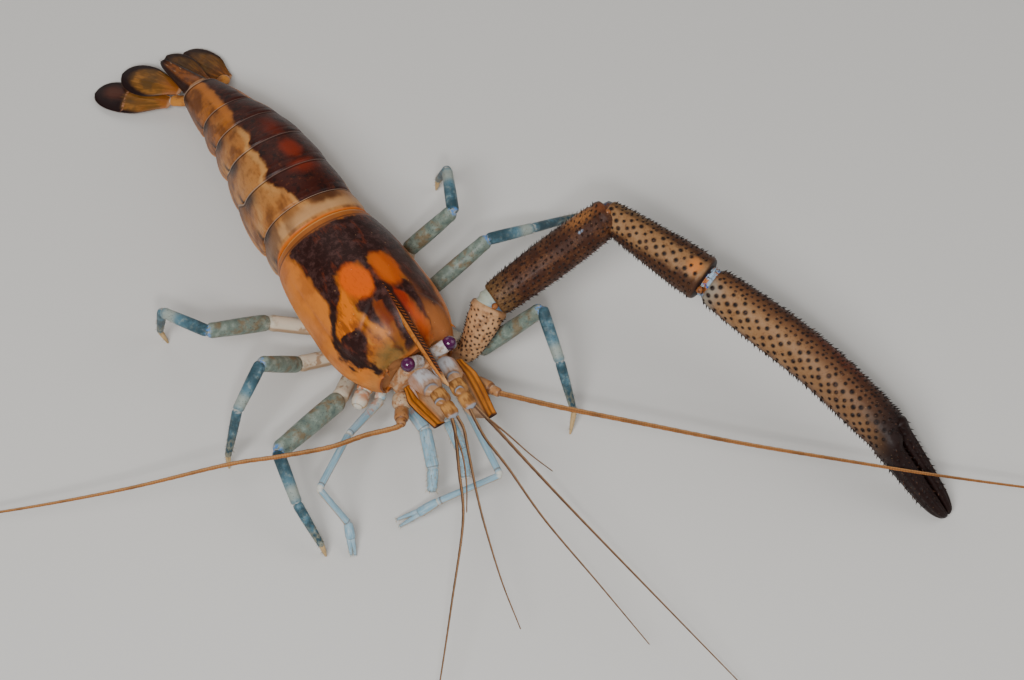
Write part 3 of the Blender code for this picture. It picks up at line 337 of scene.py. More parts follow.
def smooth_path(points, count):
    """Sample a Catmull-Rom curve through points at even steps of its parameter."""
    knots = [Vector(p) for p in points]
    knots = [knots[0] * 2 - knots[1]] + knots + [knots[-1] * 2 - knots[-2]]
    spans = len(knots) - 3
    path = []
    for index in range(count):
        place = spans * index / (count - 1)
        span = min(int(place), spans - 1)
        t = place - span
        a, b, c, d = knots[span:span + 4]
        path.append(0.5 * (2 * b + (c - a) * t + (2 * a - 5 * b + 4 * c - d) * t ** 2
                           + (3 * b - a - 3 * c + d) * t ** 3))
    return path


def along_line(points, t):
    """Point of a bent line of straight stretches of equal share."""
    place = t * (len(points) - 1)
    k = min(int(place), len(points) - 2)
    return tuple(lerp(a, b, place - k) for a, b in zip(points[k], points[k + 1]))


# Skins

def sheet(bm, spot, around, rows, tag):
    """Add a closed skin: a grid whose points go where spot(turn, row) says, in millimetres.

    turn runs from 0 to 1 round the skin and row counts its rings, of which the first and last are poles.
    The UV map holds the turn and tag(row), or the share of the rows.
    """
    surface = bm.loops.layers.uv.get("Surface") or bm.loops.layers.uv.new("Surface")
    made = bmesh.ops.create_grid(bm, x_segments=around, y_segments=rows, size=0.5)["verts"]
    for face in {face for vert in made for face in vert.link_faces}:
        for loop in face.loops:
            row = round((loop.vert.co.y + 0.5) * rows)
            loop[surface].uv = (loop.vert.co.x + 0.5, tag(row) if tag else row / rows)
    for vert in made:
        vert.co = at(spot(vert.co.x + 0.5, round((vert.co.y + 0.5) * rows)))
        vert.co.z = max(vert.co.z, 0)
    bmesh.ops.remove_doubles(bm, verts=made, dist=WELD)


def carried(path):
    """Points of a path, each with the across and up directions carried along the path."""
    across = None
    frames = []
    for k, here in enumerate(path):
        way = (path[min(k + 1, len(path) - 1)] - path[max(k - 1, 0)]).normalized()
        if across is None:
            across = way.cross(Vector((0, 0, 1)))
            across = across if across.length > 0.1 else Vector((1, 0, 0))
        across = (across - way * across.dot(way)).normalized()
        frames.append((here, across, across.cross(way)))
    return frames


def tube(bm, path, widths, around, flat=1, tag=None):
    """Add a closed tube along a path of millimetre points and return its surface's spot function.

    The half widths are 0 at both ends.
    """
    frames = carried(path)

    def spot(turn, row):
        here, across, up = frames[row]
        reach = widths[row]
        angle = 2 * math.pi * turn
        return here + across * (reach * math.cos(angle)) + up * (reach * flat * math.sin(angle))

    sheet(bm, spot, around, len(path) - 1, tag)
    return spot


def segment(bm, start, end, radii, index, around, rows=26, flat=1):
    """Add one hard length of a leg, whose rounded ends lie inside its neighbours."""
    near, middle, far = radii
    way = (end - start).normalized()
    low = start - way * near * 0.45
    high = end + way * far * 0.3
    length = (high - low).length
    places = crowded(rows)
    path = [lerp(low, high, t) for t in places]
    widths = []
    for t in places:
        body = near * (1 - t) * (1 - 2 * t) + 4 * middle * t * (1 - t) + far * t * (2 * t - 1)
        rounded = round_start(t * length / (near * 0.9)) * round_start((1 - t) * length / (far * 0.9))
        widths.append(body * rounded * (1 + JOINT_LIP * hump((1 - t) * length, far * 1.1, far * 0.35)))
    return tube(bm, path, widths, around, flat, lambda row: index + min(0.999, max(0.001, places[row])))


def limb(bm, joints, radii, around, flat=1):
    """Add the lengths of a leg from joint to joint."""
    joints = [Vector(p) for p in joints]
    for k, (start, end) in enumerate(zip(joints, joints[1:])):
        segment(bm, start, end, radii[k], k, around, flat=flat)


def cone(bm, root, way, length, radius, sides, sunk, patch=None):
    """Add a pointed spine or hair that stands in the surface, with its patch of the bake map."""
    way = way.normalized()
    turn = Vector((0, 0, 1)).rotation_difference(way).to_matrix().to_4x4()
    middle = at(root + way * ((length - sunk) / 2))
    made = bmesh.ops.create_cone(bm, cap_ends=True, segments=sides, radius1=radius * MM, radius2=0,
                                 depth=(length + sunk) * MM, matrix=Matrix.Translation(middle) @ turn)
    if patch is not None:
        bake = bm.loops.layers.uv["OFBake"]
        for k, vert in enumerate(made["verts"]):
            angle = 2 * math.pi * k / sides
            place = Vector(patch) + Vector((math.cos(angle), math.sin(angle))) * 0.0015
            for loop in vert.link_loops:
                loop[bake].uv = place


def fine_hair(bm, root, way, length, patch):
    """Add one fine hair."""
    cone(bm, root, way, length, HAIR_RADIUS, 3, HAIR_SUNK, patch)


def ball(bm, centre, radius, around=16, rings=10):
    """Add a rounded knob; its faces are sorted because Blender orders them anew in each run."""
    bmesh.ops.create_uvsphere(bm, u_segments=around, v_segments=rings, radius=radius * MM,
                              matrix=Matrix.Translation(at(centre)))
    bm.faces.sort(key=lambda face: face.calc_center_median().dot(SORT_WAY))


def finished(name, bm, finish, nodes=()):
    """Turn a mesh into a smooth piece that rides on the body and stands for some of its nodes."""
    bmesh.ops.recalc_face_normals(bm, faces=bm.faces)
    mesh = bpy.data.meshes.new(name)
    bm.to_mesh(mesh)
    bm.free()
    mesh.materials.append(finish)
    mesh.shade_smooth()
    mesh.set_sharp_from_angle(angle=SHARP_ANGLE)
    piece = bpy.data.objects.new(name, mesh)
    bpy.context.scene.collection.objects.link(piece)
    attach(piece, "root")
    if nodes:
        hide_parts(*nodes)
    return piece


def hair_mesh():
    """A mesh for spines or hairs, with its bake map."""
    bm = bmesh.new()
    bm.loops.layers.uv.new("OFBake")
    return bm


def rounded_copy(node, edge):
    """A copy of a node's solid with its doubles merged and its edges rounded."""
    bm = bmesh.new()
    bm.from_mesh(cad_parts[node].data)
    bmesh.ops.remove_doubles(bm, verts=bm.verts, dist=WELD)
    bmesh.ops.dissolve_limit(bm, angle_limit=math.radians(2), verts=bm.verts, edges=bm.edges)
    bmesh.ops.bevel(bm, geom=bm.edges, offset=edge * MM, segments=3, profile=0.5, affect="EDGES",
                    material=-1)
    return bm


# Finishes

class Finish:
    """A procedural material under construction: colours are laid over one another and relief adds up."""

    def __init__(self, name, base, roughness, coat=0, through=0):
        self.material = bpy.data.materials.new(name)
        self.material.use_nodes = True
        self.nodes = self.material.node_tree.nodes
        self.links = self.material.node_tree.links
        self.shader = self.nodes["Principled BSDF"]
        self.shader.inputs["Coat Weight"].default_value = coat
        self.shader.inputs["Coat Roughness"].default_value = 0.2
        self.shader.inputs["Specular IOR Level"].default_value = 0.22
        self.shader.inputs["Subsurface Weight"].default_value = through
        self.shader.inputs["Subsurface Scale"].default_value = 0.001
        self.shader.inputs["Subsurface Radius"].default_value = (1, 0.6, 0.4)
        place = self.node("ShaderNodeTexCoord").outputs["Object"]
        self.own = self.node("ShaderNodeMapping", (place, (*CENTRE, 0), (0, 0, 0), (1 / MM,) * 3),
                             vector_type="POINT").outputs[0]
        self.x, self.y, self.z = self.node("ShaderNodeSeparateXYZ", (self.own,)).outputs
        chart = self.node("ShaderNodeUVMap", uv_map="Surface").outputs[0]
        self.chart = chart
        self.turn, self.place = self.node("ShaderNodeSeparateXYZ", (chart,)).outputs[:2]
        self.ragged = self.own
        self.relief = None
        self.colour = (*base, 1)
        blotch = self.noise(0.35, detail=3)
        self.rough = self.node("ShaderNodeMapRange", (blotch, 0.3, 0.7, roughness - 0.06, roughness + 0.08))

    def node(self, kind, feeds=(), **settings):
        """Add a node, set its options and feed its first inputs."""
        made = self.nodes.new(kind)
        for key, value in settings.items():
            setattr(made, key, value)
        for socket, value in zip(made.inputs, feeds):
            self.feed(socket, value)
        return made

    def feed(self, socket, value):
        """Link a socket or set its value."""
        if isinstance(value, bpy.types.NodeSocket):
            self.links.new(value, socket)
        else:
            socket.default_value = value

    def sum(self, operation, a, b=0):
        """Arithmetic on two values."""
        return self.node("ShaderNodeMath", (a, b), operation=operation).outputs[0]

    def step(self, value, low, high):
        """Smooth mask from 0 at low to 1 at high."""
        return self.node("ShaderNodeMapRange", (value, low, high, 0, 1),
                         interpolation_type="SMOOTHSTEP").outputs[0]

    def both(self, *masks):
        """Where all masks hold."""
        held = masks[0]
        for mask in masks[1:]:
            held = self.sum("MULTIPLY", held, mask)
        return held

    def either(self, *masks):
        """Where any of the masks holds."""
        held = masks[0]
        for mask in masks[1:]:
            held = self.sum("MAXIMUM", held, mask)
        return held

    def faint(self, mask, strength):
        """A mask at part of its strength."""
        return self.sum("MULTIPLY", mask, strength)

    def hill(self, value, middle, width, soft=0.4):
        """Mask of a band round a value."""
        off = self.sum("ABSOLUTE", self.sum("SUBTRACT", value, middle))
        return self.step(off, width * (1 + soft), width * (1 - soft))

    def noise(self, scale, detail=4, roughness=0.55, where=None, stretch=(1, 1, 1)):
        """Cloudy noise, by default in the shrimp's millimetres."""
        where = where or self.own
        if stretch != (1, 1, 1):
            where = self.node("ShaderNodeMapping", (where, (0,) * 3, (0,) * 3, stretch)).outputs[0]
        made = self.node("ShaderNodeTexNoise")
        self.feed(made.inputs["Vector"], where)
        self.feed(made.inputs["Scale"], scale)
        self.feed(made.inputs["Detail"], detail)
        self.feed(made.inputs["Roughness"], roughness)
        return made.outputs[0]

    def specks(self, scale, size):
        """Mask of small round specks."""
        made = self.node("ShaderNodeTexVoronoi")
        self.feed(made.inputs["Vector"], self.own)
        self.feed(made.inputs["Scale"], scale)
        return self.step(made.outputs["Distance"], size, size * 0.55)

    def fray(self, scale, amount, stretch=(1, 1, 1)):
        """Make the outlines of later marks ragged."""
        where = self.node("ShaderNodeMapping", (self.own, (0,) * 3, (0,) * 3, stretch)).outputs[0]
        made = self.node("ShaderNodeTexNoise")
        self.feed(made.inputs["Vector"], where)
        self.feed(made.inputs["Scale"], scale)
        self.feed(made.inputs["Detail"], 4)
        shift = self.node("ShaderNodeVectorMath", (made.outputs["Color"], (0.5, 0.5, 0.5)),
                          operation="SUBTRACT").outputs[0]
        shift = self.node("ShaderNodeVectorMath", (shift, (2 * amount,) * 3), operation="MULTIPLY").outputs[0]
        self.ragged = self.node("ShaderNodeVectorMath", (self.own, shift), operation="ADD").outputs[0]
        self.wavy_x, self.wavy_y, _ = self.node("ShaderNodeSeparateXYZ", (self.ragged,)).outputs

    def spot(self, x, y, half_x, half_y, turn=0, soft=0.3):
        """Mask of an oval mark seen from above, the same at every height."""
        place = self.node("ShaderNodeMapping", (self.ragged, (x, y, 0), (0, 0, math.radians(turn)),
                                                (half_x, half_y, 1000)), vector_type="TEXTURE").outputs[0]
        distance = self.node("ShaderNodeVectorMath", (place,), operation="LENGTH").outputs["Value"]
        return self.step(distance, 1 + soft, 1 - soft)

    def curve(self, value, points):
        """Value of a smooth line through (value, result) points."""
        low, high = points[0][0], points[-1][0]
        least = min(p[1] for p in points)
        most = max(p[1] for p in points)
        share = self.node("ShaderNodeMapRange", (value, low, high, 0, 1)).outputs[0]
        made = self.node("ShaderNodeFloatCurve")
        line = made.mapping.curves[0]
        for k, (place, result) in enumerate(points):
            spot = ((place - low) / (high - low), (result - least) / (most - least))
            if k in (0, len(points) - 1):
                line.points[0 if k == 0 else -1].location = spot
            else:
                line.points.new(*spot)
        made.mapping.update()
        self.feed(made.inputs["Factor"], 1)
        self.feed(made.inputs["Value"], share)
        return self.node("ShaderNodeMapRange", (made.outputs[0], 0, 1, least, most)).outputs[0]

    def streak(self, points, soft=0.8):
        """Mask of a long mark seen from above, through points of y, middle x and half width."""
        middle = self.curve(self.wavy_y, [(y, x) for y, x, _ in points])
        half = self.curve(self.wavy_y, [(y, wide) for y, _, wide in points])
        off = self.sum("ABSOLUTE", self.sum("SUBTRACT", self.wavy_x, middle))
        return self.step(self.sum("SUBTRACT", half, off), -soft, soft)

    def lay(self, colour, mask, strength=1):
        """Lay a colour over what is there, where the mask holds."""
        mix = self.node("ShaderNodeMix", data_type="RGBA")
        self.feed(mix.inputs[0], mask if strength == 1 else self.faint(mask, strength))
        self.feed(mix.inputs[6], self.colour)
        self.feed(mix.inputs[7], (*colour, 1))
        self.colour = mix.outputs[2]

    def press(self, height, amount):
        """Add relief of an amount in millimetres."""
        part = self.sum("MULTIPLY", height, amount)
        self.relief = part if self.relief is None else self.sum("ADD", self.relief, part)

    def done(self):
        """Join colour, roughness and relief to the shader and return the material."""
        self.feed(self.shader.inputs["Base Color"], self.colour)
        self.links.new(self.rough.outputs[0], self.shader.inputs["Roughness"])
        if self.relief is not None:
            bump = self.node("ShaderNodeBump")
            self.feed(bump.inputs["Height"], self.relief)
            self.feed(bump.inputs["Distance"], MM)
            self.links.new(bump.outputs[0], self.shader.inputs["Normal"])
        return self.material


def tint(red, green, blue):
    """Scene colour of a screen colour given as 0 to 255."""
    return tuple(((c / 255 + 0.055) / 1.055) ** 2.4 if c > 10 else c / 255 / 12.92
                 for c in (red, green, blue))


def paint(name, description, red, green, blue):
    """A colour setting."""
    return FloatVectorProperty(name=name, description=description, subtype="COLOR", size=3, min=0,
                               max=1, default=tint(red, green, blue))


def span(name, description, millimetres):
    """A length setting, kept in metres."""
    return FloatProperty(name=name, description=description, default=millimetres * MM, min=0,
                         unit="LENGTH", precision=5)


class ShellSettings(bpy.types.PropertyGroup):
    """Sizes and colours of the carapace, the rings and the tail fan"""
    tooth_height: span("Tooth height", "Height of a tooth of the rostrum", 1.7)
    rim: span("Rim", "Height of the raised rim of a shell plate", 0.22)
    flank: paint("Flank", "Tan orange of the carapace's sides", 214, 124, 44)
    pale: paint("Pale edge", "Pale colour of plate edges", 226, 172, 112)
    saddle: paint("Saddle", "Dark maroon of the back", 42, 17, 13)
    marbling: paint("Marbling", "Grey purple veins in the saddle", 84, 54, 50)
    orange: paint("Orange spot", "Bright spots behind the head", 222, 92, 0)
    red: paint("Red spot", "Red brown spots of the back", 136, 42, 14)
    olive: paint("Olive", "Yellow brown front of the back", 168, 92, 24)
    cream: paint("Cream", "Golden tan of the rings", 182, 122, 64)
    maroon: paint("Maroon", "Saddle of the rings", 60, 20, 11)
    fan: paint("Fan", "Olive brown of the fan's blades", 112, 72, 24)
    fan_dark: paint("Fan margin", "Purple black margin of the fan's blades", 30, 12, 12)


class FeelerSettings(bpy.types.PropertyGroup):
    """Sizes and colours of the eyes, antennules and antennae"""
    eye_radius: span("Eye radius", "Half width of an eye", 2.6)
    article: span("Ring spacing", "Length of one ring of a feeler", 0.9)
    eye: paint("Eye", "Dark purple of the eyes", 44, 12, 48)
    stalk: paint("Stalk", "White grey of the eyestalks", 206, 200, 196)
    feeler: paint("Feeler", "Tan brown of the antennae", 164, 106, 54)
    lash: paint("Lash", "Grey brown of the antennules' lashes", 112, 78, 54)
    scale: paint("Antennal scale", "Orange brown of the antennal scales", 192, 116, 40)


class LegSettings(bpy.types.PropertyGroup):
    """Sizes and colours of the legs"""
    hair: span("Hair length", "Length of a leg's hairs", 1.2)
    teal: paint("Teal", "Grey green of the walking legs", 112, 126, 116)
    navy: paint("Navy", "Dark lengths of the walking legs", 34, 58, 66)
    sky: paint("Sky blue", "Pale blue of the first legs", 140, 176, 194)
    joint: paint("Joint", "Blue of the joints", 84, 140, 206)
    ivory: paint("Ivory", "Cream of leg bases and tips", 214, 200, 178)


class ClawSettings(bpy.types.PropertyGroup):
    """Sizes and colours of the big claw"""
    spacing: FloatProperty(name="Spine spacing", description="Scales the distance between spines",
                           default=1, min=0.6, max=3, subtype="FACTOR")
    seed: IntProperty(name="Seed", description="Seed of the spines' drift", default=11, min=0)
    palm: paint("Palm", "Tan of palm and carpus", 150, 110, 72)
    # Brown is painted shade: it darkens the whole merus and the far side of the claw's other lengths.
    brown: paint("Brown", "Dark brown of the merus and the claw's far side", 66, 36, 22)
    dot: paint("Dot", "Near black of spines and dots", 24, 12, 10)
    ischium: paint("Ischium", "Pale tan of the claw's first length", 196, 150, 108)
    finger: paint("Finger", "Near black brown of the fingers", 32, 15, 12)
    membrane: paint("Membrane", "Blue white of the joint skin", 176, 196, 214)
    knob: paint("Knob", "Orange tan of the joint knobs", 150, 92, 50)


class StageSettings(bpy.types.PropertyGroup):
    """Floor, light and camera"""
    floor: paint("Floor", "Pale floor", 218, 216, 212)
    light: FloatProperty(name="Light", description="Strength of the key light", default=9, min=0,
                         unit="POWER")


# Carapace

def body_point(side, y, z):
    """Place of a point given in the carapace's rolled frame."""
    middle = Vector((-1.6 - 0.036 * y, y, ROLL_HEIGHT))
    lateral = Vector((math.cos(CARAPACE_ROLL), 0, -math.sin(CARAPACE_ROLL)))
    upward = Vector((math.sin(CARAPACE_ROLL), 0, math.cos(CARAPACE_ROLL)))
    return middle + lateral * side + upward * (z - ROLL_HEIGHT)


def carapace_relief(y, angle, side, rim):
    """Height of the carapace's rims, crest and grooves over its plain dome."""
    lower = min(abs(angle + 0.5), abs(angle - math.pi - 0.5))
    rear = rim * hump(y, -0.7, 0.7) - 0.5 * rim * hump(y, -2.3, 0.7)
    edge = 0.8 * rim * hump(lower, 0.02, 0.05) - 0.5 * rim * hump(lower, 0.14, 0.05)
    crest = 0.7 * hump(side, 0, 1) * ease(y, -22, -34)
    hollow = -0.4 * hump(abs(side), 3.2, 1.6) * ease(y, -34, -46)
    neck_line = -36 - 0.75 * abs(side)
    neck = -0.35 * hump(y, neck_line, 1) * ease(abs(side), 5, 9) * ease(abs(side), 20, 15)
    branchial = -0.3 * hump(abs(math.cos(angle)), 0.93, 0.015) * ease(y, -8, -20) * (math.sin(angle) > 0)
    front = 0.6 * rim * hump(y, -60.2, 0.7)
    return rear + edge + crest + hollow + neck + branchial + front


def make_carapace(settings):
    """The shield over head and thorax, hollowed a little at both ends and underneath."""
    rim = settings.rim / MM
    main = [lerp(0, CARAPACE_FRONT, k / 96) for k in range(97)]
    rows = [(-2.5, 0), (-2.3, 0.9), (-0.5, 0.965), (-0.02, 0.985)]
    rows += [(y, 1) for y in main]
    rows += [(CARAPACE_FRONT + 0.1, 0.985), (CARAPACE_FRONT + 0.8, 0.95), (CARAPACE_FRONT + 1.6, 0.9),
             (CARAPACE_FRONT + 1.8, 0)]
    marks = [4, 3, 2, 1] + main + [-62, -63, -64, -65]
    fold = math.acos(EDGE_SHARE)
    stations = [[smooth_value(CARAPACE_STATIONS, y, column) for column in range(1, 5)] for y, _ in rows]

    def spot(turn, row):
        y, grow = rows[row]
        half, top, widest, edge = stations[row]
        middle = (top + edge) / 2
        if turn <= SHIELD_TURN:
            angle = lerp(-fold, math.pi + fold, turn / SHIELD_TURN)
            side = half * math.cos(angle)
            if math.sin(angle) >= 0:
                z = widest + (top - widest) * math.sin(angle) ** 0.92
            else:
                z = widest + (widest - edge) * math.sin(angle) / math.sin(fold)
            relief = carapace_relief(y, angle, side, rim)
            reach = math.hypot(side, z - widest) or 1
            side += relief * side / reach
            z += relief * (z - widest) / reach
        else:
            inner = half * EDGE_SHARE
            side, z = along_line(((-inner, edge), (-inner + 1, edge + 0.2), (-inner + 2, edge + 2),
                                  (0, edge + 2.4), (inner - 2, edge + 2), (inner - 1, edge + 0.2),
                                  (inner, edge)), (turn - SHIELD_TURN) / (1 - SHIELD_TURN))
        notch = 2.2 * hump(abs(side), 9, 4) * (z > widest + 4) * ease(y, -56, -61)
        return body_point(side * grow, y + notch, middle + (z - middle) * grow)

    bm = bmesh.new()
    sheet(bm, spot, CARAPACE_AROUND, len(rows) - 1, lambda row: marks[row])
    for side in (-1, 1):
        for root, lean, length in ((body_point(side * 11.6, -59.8, 31), 0.15, 3),
                                   (body_point(side * 18.2, -53, 29), 0.35, 2.6)):
            cone(bm, root, Vector((side * lean, -1, 0.1)), length, FRONT_SPINE_RADIUS, 10, FRONT_SPINE_SUNK)
    finished("carapace_shell", bm, shell_finish(settings), ("carapace",))


def tooth_rise(y, span_of_teeth, count):
    """Share of a tooth's height at a place along the rostrum: it rises forward and drops off sharply."""
    start, end = span_of_teeth
    place = (y - start) / (end - start) * count
    if place < 0 or place >= count:
        return 0
    share = place - int(place)
    return ease(share, 0.05, 0.82) if share < 0.82 else 1 - (share - 0.82) / 0.18


def make_rostrum(settings):
    """The toothed blade in front of the carapace's crest."""
    height = settings.tooth_height / MM
    count = 260
    places = [lerp(-30, -79.8, k / count) for k in range(count + 1)]
    stations = [[smooth_value(ROSTRUM_STATIONS, y, column) for column in (1, 2, 3)] for y in places]

    def spot(turn, row):
        y = places[row]
        low, high, half = stations[row]
        tooth = height * tooth_rise(y, ROSTRUM_TEETH_SPAN, ROSTRUM_TEETH) * (0.2 + 0.5 * hump(y, -62, 15))
        under = low - 0.6 * height * tooth_rise(y, UNDER_TEETH_SPAN, 3)
        rib = lerp(low, high, 0.45)
        pinch = min(1, row / 6, (count - row) / 4)
        outline = ((0, high + tooth), (0.2, high - 0.2), (half * 0.6, lerp(rib, high, 0.5)), (half, rib),
                   (half * 0.45, lerp(rib, low, 0.35)), (0.14, low), (0, under))
        share = 1 - abs(2 * turn - 1)
        side, z = along_line(outline, share)
        return body_point(math.copysign(side, 0.5 - turn) * pinch, y, lerp(rib, z, pinch))

    bm = bmesh.new()
    sheet(bm, spot, ROSTRUM_AROUND, count, lambda row: places[row])
    finished("rostrum_blade", bm, rostrum_finish())


def make_under_body(settings):
    """The under body between the legs and the block in front of the carapace."""
    finished("thorax_skin", rounded_copy("thorax", 0.6), under_finish(), ("thorax",))
    finished("head_front_skin", rounded_copy("head_front", 0.9), stalk_finish(settings, "head_front"),
             ("head_front",))


# Abdomen

def margin_place(margin):
    """Place function of an abdomen margin; it turns (side, height) into a point."""
    y, x, top, _, low, roll, slant = margin
    roll = math.radians(roll)
    pivot = lerp(low, top, 0.45)

    def place(side, z):
        up = z - pivot
        return Vector((x + side * math.cos(roll) + up * math.sin(roll), y + slant * (top - z),
                       pivot - side * math.sin(roll) + up * math.cos(roll)))
    return place


def blend_margin(a, b, t):
    """A station between two margins."""
    return tuple(lerp(p, q, t) for p, q in zip(a, b))


def ring_spot(turn, margin, grow, hang, spread, scale):
    """A point of a ring's section: side plate, back, side plate, then the belly."""
    _, _, top, half, low, _, _ = margin
    half += grow
    top += grow
    widest = lerp(low, top, 0.42)
    edge = low - hang
    belly = lerp(low, top, 0.22)
    lateral = 0
    first, second, third = RING_TURNS
    if turn < first:
        t = 1 - turn / first
        side, z = half * (1 - 0.07 * t ** 2), lerp(widest, edge, t)
        lateral = t
    elif turn < second:
        angle = math.pi * (turn - first) / (second - first)
        side = half * math.cos(angle)
        z = widest + (top - widest) * math.sin(angle) ** 0.9
    elif turn < third:
        t = (turn - second) / (third - second)
        side, z = -half * (1 - 0.07 * t ** 2), lerp(widest, edge, t)
        lateral = t
    else:
        edge_side = half * 0.93
        side, z = along_line(((-edge_side, edge), (-edge_side + 0.7, edge + 0.1),
                              (-edge_side + 1.6, edge + 2), (-half * 0.72, belly), (-half * 0.3, belly - 0.7),
                              (half * 0.3, belly - 0.7), (half * 0.72, belly), (edge_side - 1.6, edge + 2),
                              (edge_side - 0.7, edge + 0.1), (edge_side, edge)), (turn - third) / (1 - third))
    middle = lerp(low, top, 0.5)
    out = math.copysign(0.5 * ease(lateral, 0, 0.5) * (spread > 2), side)
    place = margin_place(margin)
    return place((side + out) * scale, middle + (z - middle) * scale), lateral


def make_rings(settings):
    """Six shell rings; each one's rear rim lies over the front of the next."""
    finish = ring_finish(settings)
    rim = settings.rim / MM
    for index, (front, rear) in enumerate(zip(ABDOMEN_MARGINS, ABDOMEN_MARGINS[1:])):
        hang, spread = SIDE_PLATES[index]
        rows = [(0.08, 0), (0.06, 0.86), (-0.04, 0.9), (-0.05, 0.93), (0, 0.96), (0.04, 0.985)]
        rows += [(0.06 + 0.94 * k / 34, 1) for k in range(35)]
        rows += [(0.995, 0.985), (0.97, 0.955), (0.93, 0.93), (0.92, 0)]

        def spot(turn, row, front=front, rear=rear, hang=hang, spread=spread, rows=rows):
            t, scale = rows[row]
            margin = blend_margin(front, rear, t)
            round_off = math.sin(math.pi * min(1, max(0, t))) ** 0.45
            grow = (0.55 * math.sin(math.pi * min(1, max(0, t)) ** 0.8) + rim * hump(t, 0.985, 0.016)
                    - 0.5 * rim * hump(t, 0.95, 0.016) - 0.5 * rim * hump(t, 0.22, 0.03))
            hanging = hang * round_off - 3 * (1 - round_off) * (hang > 0)
            point, lateral = ring_spot(turn, margin, grow, hanging, spread, scale)
            point.y += spread * ease(lateral, 0.1, 0.7) * (2 * t - 1) * (0 <= t <= 1)
            return point

        bm = bmesh.new()
        sheet(bm, spot, RING_AROUND, len(rows) - 1,
              lambda row, rows=rows, index=index: index + min(0.999, max(0.001, rows[row][0])))
        node = "abdomen_%d" % (index + 1)
        finished(node + "_shell", bm, finish, (node,))


def swimming_leg(bm, hairs, index, margin, side):
    """One swimming leg: a stem and two flaps with a fringe of hairs."""
    low, half = margin[4], margin[3]
    place = margin_place(margin)
    belly = lerp(low, margin[2], 0.22)
    length = SWIMMER_LENGTHS[index]
    root = place(side * half * 0.36, belly + 1)
    knee = place(side * half * 0.38, belly - 2.4) + Vector((0, 1.4, 0))
    segment(bm, root, knee, (1.9, 1.9, 1.6), 0, 12, 10, flat=0.7)
    for spread in (-1, 1):
        tip = Vector((knee.x + spread * 1.9, knee.y + length * 0.86, max(2, knee.z - length * 0.56)))
        count = 22
        path = [knee.lerp(tip, t) for t in crowded(count)]
        widths = [2.2 * math.sin(math.pi * (k / count) ** 0.75) ** 0.6 if 0 < k < count else 0
                  for k in range(count + 1)]
        spot = tube(bm, path, widths, 14, 0.2)
        for k in range(6, count):
            for edge in (0, 0.5):
                here = spot(edge, k)
                way = (here - path[k]).normalized() * 0.7 + (tip - knee).normalized()
                cone(hairs, here, way, 1.6, 0.07, 3, 0.1, (0.05 + 0.14 * index + 0.05 * spread, k / 30))


def make_swimming_legs(settings):
    """Five pairs of swimming legs under the rings."""
    bm = bmesh.new()
    hairs = hair_mesh()
    for index in range(5):
        margin = blend_margin(ABDOMEN_MARGINS[index], ABDOMEN_MARGINS[index + 1], 0.5)
        for side in (-1, 1):
            swimming_leg(bm, hairs, index, margin, side)
    finished("swimming_legs", bm, pale_limb_finish(settings, "swimming_leg"))
    finished("swimming_leg_hairs", hairs, hair_finish("swimming_hair", tint(190, 160, 120)))


# Tail fan

def blade_outline(t, kind):
    """Half widths of a fan blade on its outer and inner side, as shares of the whole half width."""
    if kind == "exopod":
        outer = 0.4 + 0.6 * ease(t, 0, 0.45)
        outer *= round_stop((t - 0.7) / 0.3, 2.4)
        inner = 0.36 + 0.64 * ease(t, 0, 0.5)
        inner *= round_stop((t - 0.58) / 0.42)
    else:
        outer = 0.36 + 0.64 * ease(t, 0, 0.6)
        outer *= round_stop((t - 0.62) / 0.38, 2.2)
        inner = outer
    root = blunt(t / 0.04)
    return outer * root, inner * root


def blade_frame(start, end, tilt):
    """Start of a blade, its way, across and up directions and its length."""
    start, end = Vector(start), Vector(end)
    way = (end - start).normalized()
    level = way.cross(Vector((0, 0, 1))).normalized()
    across = Matrix.Rotation(math.radians(tilt), 3, way) @ level
    up = across.cross(way)
    return start, way, across, up, (end - start).length


def blade(bm, hairs, start, end, tilt, half_width, outer_side, kind, chart):
    """A thin blade with lengthwise ribs on its back and a fringe of hairs round its tip."""
    start, way, across, up, length = blade_frame(start, end, tilt)
    count = 60
    places = crowded(count)

    def spot(turn, row):
        t = places[row]
        outer, inner = blade_outline(t, kind)
        s = math.cos(2 * math.pi * turn)
        reach = outer if s * outer_side > 0 else inner
        thick = (0.42 - 0.22 * t) * abs(math.sin(2 * math.pi * turn)) ** 0.6 * min(1, reach * 2.5)
        if kind == "exopod" and s * outer_side > 0.8 and t < 0.72:
            thick += 0.35 * hump(abs(s), 0.93, 0.07)
        lift = 0
        if turn < 0.5:
            lift = sum(0.22 * hump(s, rib, 0.05) for rib in BLADE_RIBS)
            lift = lift * ease(t, 0.03, 0.15) * ease(t, 0.9, 0.6)
            lift += 0.35 * (1 - s * s) * ease(t, 0, 0.3) * ease(t, 1, 0.6)
            if kind == "exopod":
                lift -= 0.2 * hump(t, 0.6 - 0.05 * s * outer_side, 0.012)
        rise = thick + lift if turn < 0.5 else -thick
        return start + way * (length * t) + across * (half_width * reach * s) + up * (rise - 0.5 * s * s)

    sheet(bm, spot, BLADE_AROUND, count, lambda row: places[row])
    for k in [k for k in range(count) if 0.3 < places[k] < 0.995]:
        for edge in (0, 0.5):
            if kind == "exopod" and places[k] < 0.72 and (edge == 0) == (outer_side > 0):
                continue
            steps = max(1, round((places[k + 1] - places[k]) * length / 0.22))
            for step in range(steps):
                here = lerp(spot(edge, k), spot(edge, k + 1), step / steps)
                out = (here - (start + way * (length * places[k]))).normalized()
                fine_hair(hairs, here, out * lerp(1, 0.7, places[k]) + way * 0.4, 0.5,
                          (chart + 0.1 * edge, 0.05 + 0.9 * (k + step / steps) / count))


